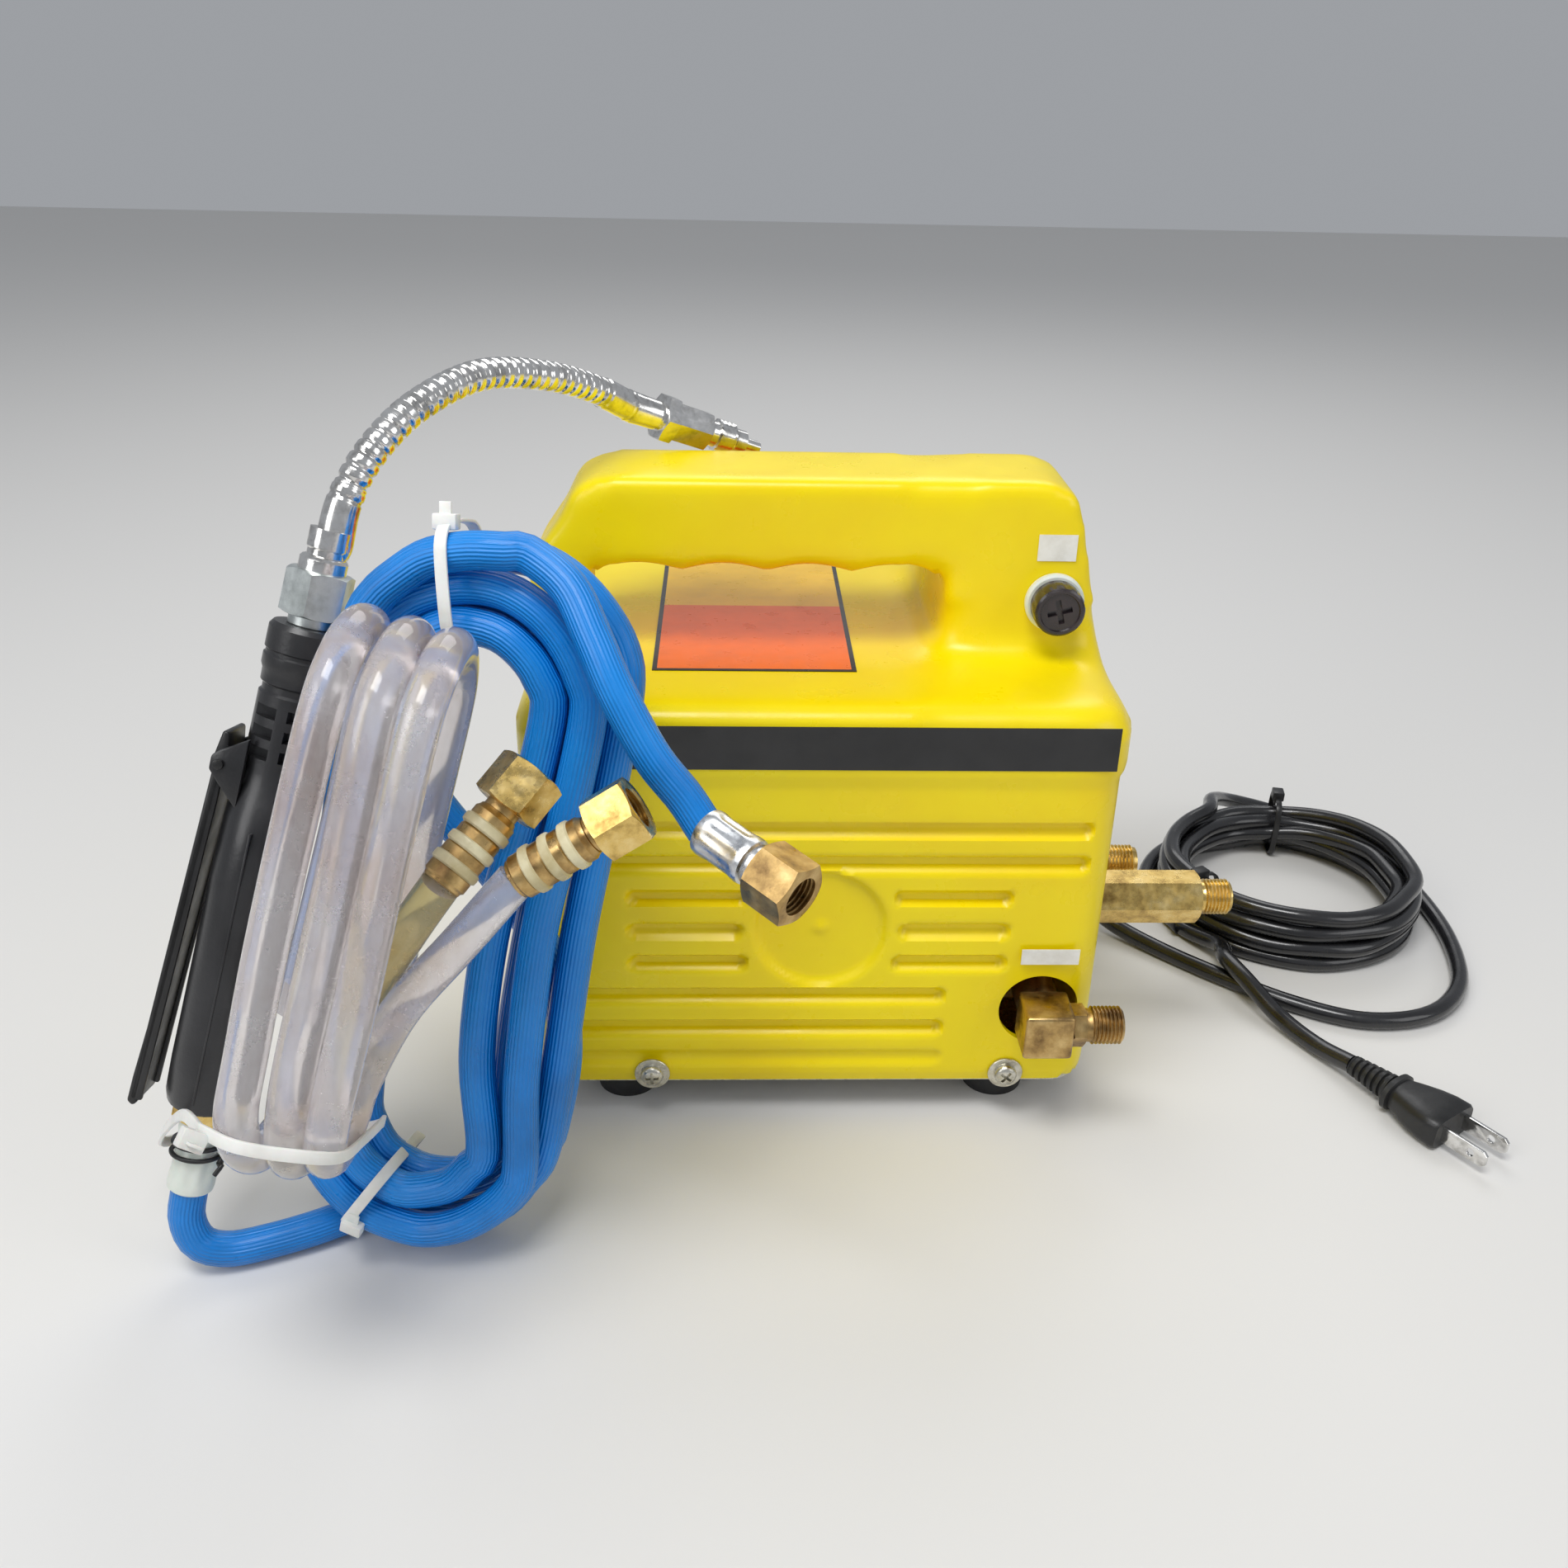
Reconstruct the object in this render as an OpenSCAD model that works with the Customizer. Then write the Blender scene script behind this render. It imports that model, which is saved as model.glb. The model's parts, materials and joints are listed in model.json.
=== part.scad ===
// Portable airless sprayer: a plunger pump in a moulded carrying case, with its gun, hoses and mains lead.
// Millimetres, +Z up, +X to the right seen from the front, the front faces -Y.
// The origin lies on the floor under the middle of the four rubber feet.

/* [Case] */
// Width of the moulded case
case_w = 200; // [196:1:204]
// Depth of the moulded case
case_d = 170; // [168:1:174]
// Height of the flat deck above the floor
deck_z = 160; // [158:1:164]
// Height of the top of the carrying handle
top_z = 220; // [216:1:226]
// Wall thickness of the moulding
wall = 3; // [2.5:0.1:3]
// Height of the rubber feet, which is the height of the case's lower edge
foot_h = 14; // [12:1:15]

/* [Handle] */
// Front face of the handle bar, measured from the middle of the case
grip_front = -36; // [-38:1:-34]
// Back face of the handle bar
grip_back = 8; // [6:1:10]
// Left end of the hand opening
opening_left = -79; // [-80:1:-76]
// Right end of the hand opening
opening_right = 41; // [38:1:41]
// Top of the hand opening
opening_top = 190; // [188:1:192]

/* [Pump] */
// Height of the motor shaft and of the plunger
shaft_z = 66; // [64:1:68]
// Throw of the eccentric
throw = 2.5; // [1.5:0.5:2.5]
// Radius of the plunger
plunger_r = 6; // [5:0.5:6]

/* [Ports] */
// Thread radius of every port, a quarter inch pipe thread
thread_r = 6.6; // [6.5:0.05:6.7]
// Radius of the passage through the ports
passage_r = 3.5; // [3:0.25:4]

/* [Gun] */
// Length of the gun's body
gun_len = 147; // [145:1:150]
// Lean of the gun to the right, in degrees
gun_lean = 14.8; // [14:0.1:15]
// Outside diameter of the blue pressure hose
hose_d = 11; // [10.6:0.1:11.2]
// Outside diameter of the clear hoses
clear_d = 11; // [10.6:0.1:11.2]
// Outside diameter of the gooseneck
neck_d = 9.5; // [9:0.1:10]

/* [Mains lead] */
// Diameter of the mains lead
lead_d = 7; // [6.5:0.1:7.2]

/* [Hidden] */
$fn = 64;

// Case: half sizes and the slope of the upper part
half_w = case_w / 2;
half_d = case_d / 2;
top_half_w = half_w - 13;
tower_foot_y = 58;
// Ports on the pump head
shaft_x = -22;
pump_y = -40;
elbow_x = 78;
elbow_z = 46;
elbow_half = 8.5;
elbow_front = -101;
nipple_y = -92.5;
head_x = [20, 84];
head_y = [-62, -4];
head_z = [36, 84];
bypass_y = -14;
// Screws through the lower edge
screw_z = foot_h + 5;
screw_x = [-58, 68];
// Feet
foot_x = 68;
foot_y = 62;
// Fuse holder on the tower's front
fuse_x = 78;
fuse_z = 180;
// Mains inlet
grommet_y = 52;
grommet_z = 24;
// The hoses and the gun stand in one plane, which leans back against the case
bundle_pos = [0, -158, 6];
bundle_lean = -15.3;
gun_foot = [-188, 0, 54];
// Pin of the trigger lever, in the gun's own frame
lever_x = -14;
lever_z = 104;
// The blue hank, in the leaning plane
hank_pos = [-111, 6.5, 112];
hank_tilt = 10;
hank_yaw = -10;
hank_half_w = 40;
hank_half_h = 110;
hank_band = 22.5;
hank_t = 40;
// The clear hank, in the leaning plane: an upright oval seen from its edge
clear_pos = [-131.5, -46, 128];
clear_tilt = 14.7;
clear_half_h = 78;
clear_half_d = 30;
clear_w = 34;

// Smooth curve through chosen points: each span is split into n parts
function spline_point(a, b, c, d, t) =
    0.5 * ((2 * b) + (c - a) * t + (2 * a - 5 * b + 4 * c - d) * t * t + (3 * b - a - 3 * c + d) * t * t * t);
function smooth(p, n) = [
    for (i = [0 : len(p) - 2]) for (k = [0 : n - 1])
        spline_point(p[max(i - 1, 0)], p[i], p[i + 1], p[min(i + 2, len(p) - 1)], k / n),
    p[len(p) - 1]
];
function unit(v) = v / norm(v);
function tangent(p, i) = unit(p[min(i + 1, len(p) - 1)] - p[max(i - 1, 0)]);
// A direction across the tube that is carried along it without twist
function carry(p, i) =
    i == 0
        ? let (t = tangent(p, 0), s = abs(t[2]) < 0.9 ? [0, 0, 1] : [1, 0, 0]) unit(s - (s * t) * t)
        : let (t = tangent(p, i), s = carry(p, i - 1)) unit(s - (s * t) * t);

// A round tube swept along points, with flat ends square to the first and last span
module tube(p, r, sides = 10) {
    n = len(p);
    rings = [
        for (i = [0 : n - 1])
            let (t = tangent(p, i), a = carry(p, i), b = cross(t, a))
                for (k = [0 : sides - 1]) p[i] + r * (cos(360 * k / sides) * a + sin(360 * k / sides) * b)
    ];
    walls = [
        for (i = [0 : n - 2]) for (k = [0 : sides - 1])
            [i * sides + k, (i + 1) * sides + k, (i + 1) * sides + (k + 1) % sides, i * sides + (k + 1) % sides]
    ];
    caps = [[for (k = [0 : sides - 1]) k], [for (k = [sides - 1 : -1 : 0]) (n - 1) * sides + k]];
    polyhedron(rings, concat(walls, caps), convexity = 8);
}

// Routes, chosen by hand
pressure_start_route = [
    [-195.9, 0, 24], [-197.5, 0, 14], [-194.5, 1, 5], [-186.5, 3, 1.6], [-175, 7, 2], [-163, 12, 3.4],
    [-150, 18, 5.6], [-138, 23, 8.8]
];
pressure_end_route = [
    [-87, -11, 217.5], [-75.5, -15, 208.7], [-68.3, -21, 195], [-61.8, -26, 181], [-52.5, -27, 164],
    [-43.5, -27, 152.5], [-37.6, -29, 143.8]
];
neck_route = [
    [-143.5, -98, 216], [-140, -94, 228], [-133, -86, 240], [-122, -72, 250], [-107, -52, 255],
    [-91, -30, 251], [-77, -10, 243], [-66, 5, 234]
];
suction_route = [
    [-138, -34, 68], [-134, -34, 82], [-127, -38, 103], [-116.5, -43, 119.5], [-107.1, -46, 132.9]
];
bypass_route = [
    [-136, -50, 64], [-129.5, -49, 79], [-119, -46, 98], [-103, -43, 116], [-88, -42, 133.2]
];
lead_route = [
    [104, 52, 24], [113, 50.5, 22], [124, 46, 14], [137, 36, 6], [153, 20, 3.6], [173, 0, 3.6],
    [197, -20, 3.6], [223, -32, 3.6], [251, -28, 3.6], [272, -8, 3.6], [283, 24, 3.6], [286, 60, 3.6],
    [282, 96, 3.6], [268, 128, 3.6], [244, 142, 6], [220, 138, 14], [205, 124, 22], [198, 108, 25]
];
tail_route = [
    [178, 16, 5], [176, 2, 3.6], [180, -14, 3.6], [188, -32, 3.6], [197, -49, 3.6], [205, -64, 6.5]
];
// Where the fittings sit on the hoses' free ends, and the way they point
end_nut_pos = [-37.6, -29, 143.8];
end_nut_turn = [0, 112, -39];
suction_end = [-107.1, -46, 132.9];
suction_turn = [0, 44, 30];
bypass_end = [-88, -42, 133.2];
bypass_turn = [0, 58, -4];
coil_pos = [222, 62];
coil_r = 50;
coil_band = 14;
coil_h = 21;

module in_bundle() {
    translate(bundle_pos) rotate([bundle_lean, 0, 0]) children();
}

module in_gun() {
    in_bundle() translate(gun_foot) rotate([0, gun_lean, 0]) children();
}

// Outline of a box with round corners
module round_rect(w, d, r) {
    square([w - 2 * r, d], center = true);
    square([w, d - 2 * r], center = true);
    for (x = [-1, 1]) for (y = [-1, 1]) translate([x * (w / 2 - r), y * (d / 2 - r)]) circle(r);
}

// A rod along +X
module rod_x(r, length, sides = 64) {
    rotate([0, 90, 0]) cylinder(r = r, h = length, $fn = sides);
}

// A rod along +Y
module rod_y(r, length, sides = 64) {
    rotate([-90, 0, 0]) cylinder(r = r, h = length, $fn = sides);
}

// A hexagon bar along +X, sized across its flats
module hex_x(flats, length) {
    rotate([0, 90, 0]) cylinder(d = flats / cos(30), h = length, $fn = 6);
}

// A hexagon bar along +Z, sized across its flats
module hex_z(flats, length) {
    cylinder(d = flats / cos(30), h = length, $fn = 6);
}

// Front silhouette of the handle and the tower, inset all round
module fin_outline(inset) {
    b = half_w - inset;
    t = top_half_w - inset;
    h = top_z - inset;
    polygon([
        [-b, deck_z - 14], [-b, deck_z], [-b + 2, deck_z + 30], [-t, h - 14], [-t + 4, h - 4], [-t + 14, h],
        [t - 14, h], [t - 4, h - 4], [t, h - 14], [b - 2, deck_z + 30], [b, deck_z], [b, deck_z - 14]
    ]);
}

// Solid shape of the case, inset all round
module case_shape(inset) {
    translate([0, 0, foot_h - (inset > 0 ? 1 : 0)])
        linear_extrude(deck_z - foot_h - inset + (inset > 0 ? 1 : 0))
            round_rect(case_w - 2 * inset, case_d - 2 * inset, 12);
    translate([0, grip_back - inset, 0])
        rotate([90, 0, 0]) linear_extrude(grip_back - grip_front - 2 * inset) fin_outline(inset);
    intersection() {
        translate([0, tower_foot_y + 2, 0])
            rotate([90, 0, 0]) linear_extrude(tower_foot_y - grip_front) fin_outline(inset);
        translate([opening_right + inset, 0, 0])
            rotate([90, 0, 90]) linear_extrude(half_w - opening_right)
                polygon([
                    [grip_front + inset, deck_z - 14], [grip_front + inset, top_z - inset],
                    [grip_back + 4 - inset, top_z - inset], [tower_foot_y - inset, deck_z + 10],
                    [tower_foot_y - inset, deck_z - 14]
                ]);
    }
}

// The hand opening, grown all round
module hand_opening(grow) {
    w = opening_right - opening_left + 2 * grow;
    h = opening_top - deck_z + grow;
    translate([opening_left - grow, 120, deck_z]) rotate([90, 0, 0]) linear_extrude(240) {
        square([w, h - 10]);
        translate([10, 0]) square([w - 20, h]);
        translate([10, h - 10]) circle(10);
        translate([w - 10, h - 10]) circle(10);
    }
}

module case_cover() {
    color("gold") difference() {
        union() {
            case_shape(0);
        }
        difference() {
            case_shape(wall);
            intersection() {
                hand_opening(wall);
                translate([-half_w, -half_d, deck_z - wall]) cube([case_w, case_d, 80]);
            }
        }
        hand_opening(0);
        // Outlet opening in the front
        translate([elbow_x - 0.5, -half_d - 1, elbow_z]) rod_y(14, wall + 2);
        // Ports and mains lead in the right side
        translate([half_w - wall - 1, pump_y, shaft_z]) rod_x(11.5, wall + 2);
        translate([half_w - wall - 1, bypass_y, shaft_z]) rod_x(9.5, wall + 2);
        translate([half_w - wall - 1, grommet_y, grommet_z]) rod_x(5.5, wall + 2);
        // Fuse holder in the tower's front
        translate([fuse_x, grip_front - 1, fuse_z]) rod_y(6.3, wall + 2);
        // Power switch in the back
        translate([56, half_d - wall - 1, 108]) cube([20, wall + 2, 27]);
        // Cooling slots in the back
        for (i = [0 : 9]) translate([-74 + i * 9, half_d - wall - 1, 50]) cube([4, wall + 2, 50]);
        // Screw holes
        for (x = screw_x) translate([x, -half_d - 1, screw_z]) rod_y(2.3, wall + 2);
        for (x = screw_x) translate([x, half_d - wall - 1, screw_z]) rod_y(2.3, wall + 2);
    }
}

module front_band() {
    color("black") translate([-93, -half_d - 0.35, deck_z - 20]) cube([186, 0.35, 15]);
}

module deck_label() {
    color("orange") translate([-57, -52, deck_z]) cube([68, 126, 0.3]);
}

module outlet_label() {
    color("white") translate([69, -half_d - 0.3, 66]) cube([20, 0.3, 6]);
}

module fuse_label() {
    color("white") translate([71, grip_front - 0.3, 194]) cube([13, 0.3, 9]);
}

module base_tray() {
    color("silver") difference() {
        union() {
            translate([0, 0, foot_h]) linear_extrude(2) round_rect(case_w - 2 * wall - 1, case_d - 2 * wall - 1, 12);
            for (y = [-half_d + wall + 0.5, half_d - wall - 2.5])
                translate([-half_w + 16, y, foot_h]) cube([case_w - 32, 2, 12]);
        }
        for (x = [-foot_x, foot_x]) for (y = [-foot_y, foot_y])
            translate([x, y, foot_h - 1]) cylinder(r = 2.7, h = 4);
        for (x = screw_x) translate([x, -half_d, screw_z]) rod_y(2.1, 8);
        for (x = screw_x) translate([x, half_d - 8, screw_z]) rod_y(2.1, 8);
    }
}

module rubber_feet() {
    color("black") for (x = [-foot_x, foot_x]) for (y = [-foot_y, foot_y]) translate([x, y, 0])
        difference() {
            cylinder(r1 = 11, r2 = 13.5, h = foot_h);
            translate([0, 0, -1]) cylinder(r = 2.7, h = foot_h + 2);
            translate([0, 0, -1]) cylinder(r = 5.5, h = 6);
        }
}

module foot_screws() {
    color("silver") for (x = [-foot_x, foot_x]) for (y = [-foot_y, foot_y]) translate([x, y, 0]) {
        translate([0, 0, 2]) cylinder(r = 4.6, h = 3);
        translate([0, 0, 4]) cylinder(r = 2.5, h = foot_h + 5);
    }
}

module foot_nuts() {
    color("silver") for (x = [-foot_x, foot_x]) for (y = [-foot_y, foot_y])
        translate([x, y, foot_h + 2]) difference() {
            hex_z(8, 4);
            translate([0, 0, -1]) cylinder(r = 2.55, h = 6);
        }
}

module case_screw() {
    // Washer, pan head and shank, with a cross slot
    rod_y(5.2, 0.9);
    translate([0, 0.5, 0]) rod_y(2, 7);
    difference() {
        translate([0, -2.6, 0]) rod_y(4, 2.7);
        translate([-0.5, -3, -2.2]) cube([1, 1.6, 4.4]);
        translate([-2.2, -3, -0.5]) cube([4.4, 1.6, 1]);
    }
}

module case_screws() {
    color("silver") for (x = screw_x) {
        translate([x, -half_d - 0.9, screw_z]) case_screw();
        translate([x, half_d + 0.9, screw_z]) rotate([0, 0, 180]) case_screw();
    }
}

module motor_housing() {
    color("dimgray") translate([shaft_x, -18, shaft_z]) difference() {
        rod_y(42, 80);
        translate([0, -1, 0]) rod_y(39, 82);
    }
}

module motor_front_cap() {
    color("silver") translate([shaft_x, -24, shaft_z]) difference() {
        union() {
            rod_y(42, 6);
            rod_y(15, 12);
        }
        translate([0, -1, 0]) rod_y(11, 14);
    }
}

module motor_rear_cap() {
    color("silver") translate([shaft_x, 62, shaft_z]) difference() {
        union() {
            rod_y(42, 3);
            translate([0, -6, 0]) rod_y(15, 9);
        }
        translate([0, -7, 0]) rod_y(11, 14);
        for (a = [0 : 45 : 315]) rotate([0, a, 0]) translate([27, -1, 0]) rod_y(6, 6);
    }
}

module stator() {
    color("darkorange") translate([shaft_x, -4, shaft_z]) difference() {
        union() {
            translate([0, 8, 0]) rod_y(38.8, 40);
            rod_y(34, 56);
        }
        translate([0, -1, 0]) rod_y(24, 58);
    }
}

module rotor_core() {
    color("slategray") translate([shaft_x, 4, shaft_z]) difference() {
        rod_y(23.4, 40);
        translate([0, -1, 0]) rod_y(5, 42);
    }
}

module motor_shaft() {
    color("silver") translate([shaft_x, -52, shaft_z]) rod_y(5, 130);
}

module shaft_bearings() {
    color("lightgray") for (y = [-24, 56]) translate([shaft_x, y, shaft_z]) difference() {
        rod_y(11, 8);
        translate([0, -1, 0]) rod_y(5.05, 10);
    }
}

module cooling_fan() {
    color("white") translate([shaft_x, 67, shaft_z]) difference() {
        union() {
            rod_y(10, 9);
            rod_y(34, 1.5);
            for (a = [0 : 30 : 330]) rotate([0, a, 0]) translate([9, 0, -0.8]) cube([25, 9, 1.6]);
        }
        translate([0, -1, 0]) rod_y(5, 12);
    }
}

module motor_saddle() {
    color("gray") difference() {
        translate([shaft_x - 32, 2, foot_h + 2]) cube([64, 34, 22]);
        translate([shaft_x, 0, shaft_z]) rod_y(42, 40);
    }
}

module eccentric_cam() {
    color("silver") translate([shaft_x, pump_y - 6, shaft_z]) difference() {
        translate([-throw, 0, 0]) rod_y(13, 12);
        translate([0, -1, 0]) rod_y(5, 14);
    }
}

module cam_bearing() {
    color("lightgray") translate([shaft_x - throw, pump_y - 5, shaft_z]) difference() {
        rod_y(17, 10);
        translate([0, -1, 0]) rod_y(13, 12);
    }
}

module crankcase() {
    color("gainsboro") difference() {
        union() {
            translate([shaft_x - 32, -58, shaft_z - 28]) cube([head_x[0] - shaft_x + 32, 34, 56]);
        }
        translate([shaft_x, -54, shaft_z]) rod_y(23, 40);
        translate([shaft_x, pump_y, shaft_z]) rod_x(12, 38);
        translate([shaft_x, pump_y, shaft_z]) rod_x(plunger_r + 0.05, 50);
    }
}

module plunger() {
    // The foot stays clear of the eccentric's bearing over the whole stroke
    foot_x = shaft_x + 17 + 3 * throw + 0.3;
    color("lightsteelblue") translate([foot_x, pump_y, shaft_z]) {
        rod_x(plunger_r, shaft_x + 75.3 - foot_x);
        rod_x(10.5, 3);
    }
}

module plunger_spring() {
    turns = 4;
    color("gray") tube(
        [
            for (a = [0 : 20 : 360 * turns])
                [shaft_x + 29 + 7 * a / (360 * turns), pump_y + 8.6 * cos(a), shaft_z + 8.6 * sin(a)]
        ],
        0.8, 6
    );
}

module pump_head() {
    color("peru") difference() {
        translate([head_x[0], head_y[0], head_z[0]])
            cube([head_x[1] - head_x[0], head_y[1] - head_y[0], head_z[1] - head_z[0]]);
        // Plunger bore, inlet valve chamber and inlet passage
        translate([head_x[0] - 1, pump_y, shaft_z]) rod_x(plunger_r + 0.05, 38);
        translate([56, pump_y, shaft_z]) rod_x(4.4, 16);
        translate([70, pump_y, shaft_z]) rod_x(2.5, 15);
        // Outlet passage, valve chamber and bypass passage
        translate([59, pump_y, elbow_z - 2]) cylinder(r = 2.2, h = shaft_z - elbow_z);
        translate([59, pump_y, elbow_z]) rod_x(2.2, elbow_x - 59);
        translate([elbow_x, head_y[0] - 1, elbow_z]) rod_y(4.4, 16);
        translate([elbow_x, head_y[0] + 8, elbow_z]) rod_y(2.5, pump_y - head_y[0] - 6);
        translate([66, bypass_y, shaft_z]) rod_x(3, 19);
    }
}

module inlet_valve_ball() {
    color("silver") translate([66.2, pump_y, shaft_z]) sphere(3.6);
}

module outlet_valve_ball() {
    color("silver") translate([elbow_x, -51, elbow_z]) sphere(3.6);
}

module outlet_elbow() {
    color("darkgoldenrod") difference() {
        translate([elbow_x - elbow_half, elbow_front, elbow_z - elbow_half])
            cube([2 * elbow_half, head_y[0] - elbow_front, 2 * elbow_half]);
        translate([elbow_x, nipple_y, elbow_z]) rod_y(passage_r, head_y[0] - nipple_y + 1);
        translate([elbow_x, nipple_y, elbow_z]) rod_x(passage_r, elbow_half + 1);
    }
}

module outlet_nipple() {
    color("goldenrod") translate([elbow_x + elbow_half, nipple_y, elbow_z]) difference() {
        union() {
            hex_x(13, 5);
            rod_x(thread_r - 0.8, 7);
            translate([7, 0, 0]) rod_x(thread_r, 11);
        }
        translate([-1, 0, 0]) rod_x(passage_r, 20);
    }
}

module inlet_adaptor() {
    color("goldenrod") translate([head_x[1], pump_y, shaft_z]) difference() {
        union() {
            hex_x(17, 59);
            rod_x(thread_r - 0.8, 61);
            translate([61, 0, 0]) rod_x(thread_r, 10);
        }
        translate([-1, 0, 0]) rod_x(passage_r, 80);
    }
}

module bypass_nipple() {
    color("goldenrod") translate([head_x[1], bypass_y, shaft_z]) difference() {
        union() {
            hex_x(14, 20);
            rod_x(thread_r - 0.8, 30);
            translate([30, 0, 0]) rod_x(thread_r, 12);
        }
        translate([-1, 0, 0]) rod_x(passage_r, 50);
    }
}

module capacitor() {
    color("white") translate([62, 40, foot_h + 2]) {
        cylinder(r = 16, h = 62);
        translate([-5, 0, 61]) cylinder(r = 2, h = 8);
        translate([5, 0, 61]) cylinder(r = 2, h = 8);
    }
}

module fuse_holder() {
    color("lightyellow") translate([fuse_x, grip_front, fuse_z]) difference() {
        union() {
            translate([0, -3, 0]) rod_y(10, 3);
            rod_y(6, 40);
        }
        translate([0, -4, 0]) rod_y(5, 42);
    }
}

module fuse_cap() {
    color("black") translate([fuse_x, grip_front - 12, fuse_z]) difference() {
        rod_y(8.6, 8.8);
        translate([-0.6, -1, -3]) cube([1.2, 2.2, 6]);
        translate([-3, -1, -0.6]) cube([6, 2.2, 1.2]);
    }
}

module fuse_carrier() {
    color("dimgray") translate([fuse_x, grip_front - 3.1, fuse_z]) difference() {
        rod_y(4.6, 12);
        translate([0, 5, 0]) rod_y(2.6, 8);
    }
}

module fuse_tube() {
    color("lightcyan") translate([fuse_x, grip_front + 1.9, fuse_z]) rod_y(2.6, 20);
}

module power_switch() {
    color("black") translate([56.3, half_d - 22, 108.3]) difference() {
        union() {
            cube([19.4, 21, 26.4]);
            translate([-2.3, 22, -2.3]) cube([24, 2, 31]);
            translate([0, 20, 0]) cube([19.4, 3, 26.4]);
        }
        translate([2.5, 12, 3]) cube([14.4, 13, 20.4]);
    }
}

module power_rocker() {
    // The rocker turns on a round pivot along X
    color("red") translate([59.4, half_d - 3, 121.5]) {
        rotate([0, 90, 0]) linear_extrude(13.2)
            polygon([[-9.2, 0.4], [0, -2.4], [9.2, 0.4], [8.5, 6], [0, 3.4], [-8.5, 4.4]]);
        translate([-0.4, -0.5, 0]) rod_x(2.4, 14);
    }
}

module gun_body() {
    color("black") in_gun() difference() {
        union() {
            // Grip with round front and back, then the barrel and its collar
            linear_extrude(92) {
                translate([0, -4]) circle(12.5);
                translate([0, 6]) circle(12.5);
                translate([-12.5, -4]) square([25, 10]);
            }
            translate([0, 0, 92]) cylinder(r1 = 12.5, r2 = 10.2, h = 8);
            translate([0, 0, 100]) cylinder(r = 10.2, h = gun_len - 100);
            translate([0, 0, gun_len - 12]) cylinder(r = 11, h = 12);
            // Ears for the lever's pin
            for (y = [-11, 8]) translate([-17, y, 98]) cube([12, 3, 12]);
        }
        // Bore for the valve stem, and the cooling slots of the barrel
        translate([0, 0, 8]) cylinder(r = 3, h = gun_len - 20);
        translate([0, 0, -1]) cylinder(r = 2, h = gun_len + 2);
        for (z = [108 : 6 : 120]) for (s = [-1, 1])
            translate([s * 7.6 - 3, -12, z]) cube([6, 7, 3]);
        translate([lever_x, -12, lever_z]) rod_y(1.55, 24);
    }
}

module trigger_lever() {
    // The pin turns with the lever
    color("black") in_gun() {
        translate([lever_x, -11.6, lever_z]) rod_y(1.5, 23.2);
        translate([lever_x, 0, lever_z]) rotate([90, 0, 0]) linear_extrude(15, center = true)
            polygon([
                [-7.4, -108], [-4.4, -108], [0.6, -4], [2.8, -1.2], [2.8, 1.2], [1, 3.6], [0.4, 21],
                [-2.2, 21], [-3.2, 2], [-2.6, -4]
            ]);
    }
}

module gun_valve_stem() {
    color("silver") in_gun() translate([0, 0, 12]) cylinder(r = 2.6, h = 116);
}

module gun_inlet_nut() {
    color("goldenrod") in_gun() translate([0, 0, -7]) difference() {
        hex_z(17, 7);
        translate([0, 0, -1]) cylinder(r = passage_r, h = 9);
    }
}

module gooseneck_nut() {
    color("silver") in_gun() translate([0, 0, gun_len]) difference() {
        union() {
            cylinder(r = 6.5, h = 3);
            translate([0, 0, 3]) hex_z(17, 13);
            translate([0, 0, 16]) cylinder(r = 6.8, h = 4);
        }
        translate([0, 0, -1]) cylinder(r = 2.5, h = 24);
    }
}

module gooseneck() {
    color("lightgray") {
        tube(smooth(neck_route, 3), neck_d / 2, 12);
        in_gun() translate([0, 0, gun_len + 20]) cylinder(r = 5.6, h = 8);
    }
}

// The nozzle points down behind the handle
nozzle_pos = [-66, 5, 234];
nozzle_turn = [0, 111, 27];

module nozzle_fitting() {
    color("silver") translate(nozzle_pos) rotate([0, 0, nozzle_turn[2]]) rotate([0, nozzle_turn[1], 0]) {
        cylinder(r1 = 5.6, r2 = 5, h = 12);
        translate([0, 0, 12]) hex_z(15, 5);
        translate([0, 0, 17]) hex_z(12.5, 14);
    }
}

module nozzle_tip() {
    color("gainsboro") translate(nozzle_pos) rotate([0, 0, nozzle_turn[2]]) rotate([0, nozzle_turn[1], 0])
        difference() {
            union() {
                translate([0, 0, 31]) cylinder(r = 4.6, h = 4);
                translate([0, 0, 35]) cylinder(r = 5.6, h = 7);
                translate([0, 0, 42]) cylinder(r = 4.4, h = 5);
                translate([0, 0, 47]) cylinder(r = 2.4, h = 7);
            }
            translate([0, 0, 40]) cylinder(r = 0.8, h = 16);
        }
}

module hose_ferrule() {
    color("white") in_gun() translate([0, 0, -31]) difference() {
        cylinder(r = 7, h = 24);
        translate([0, 0, 16]) cylinder(r = 2.5, h = 9);
    }
}

module pressure_hose_start() {
    color("dodgerblue") in_bundle() tube(smooth(pressure_start_route, 3), hose_d / 2, 10);
}

module pressure_hose_hank() {
    color("dodgerblue") in_bundle() translate(hank_pos) rotate([0, hank_tilt, hank_yaw]) rotate([90, 0, 0])
        translate([0, 0, -hank_t / 2]) linear_extrude(hank_t) difference() {
            stadium(hank_half_w, hank_half_h);
            stadium(hank_half_w - hank_band, hank_half_h - hank_band);
        }
}

// An upright outline with round ends
module stadium(half_width, half_height) {
    for (s = [-1, 1]) translate([0, s * (half_height - half_width)]) circle(half_width);
    square([2 * half_width, 2 * (half_height - half_width)], center = true);
}

module pressure_hose_end() {
    color("dodgerblue") in_bundle() tube(smooth(pressure_end_route, 3), hose_d / 2, 10);
}

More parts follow.
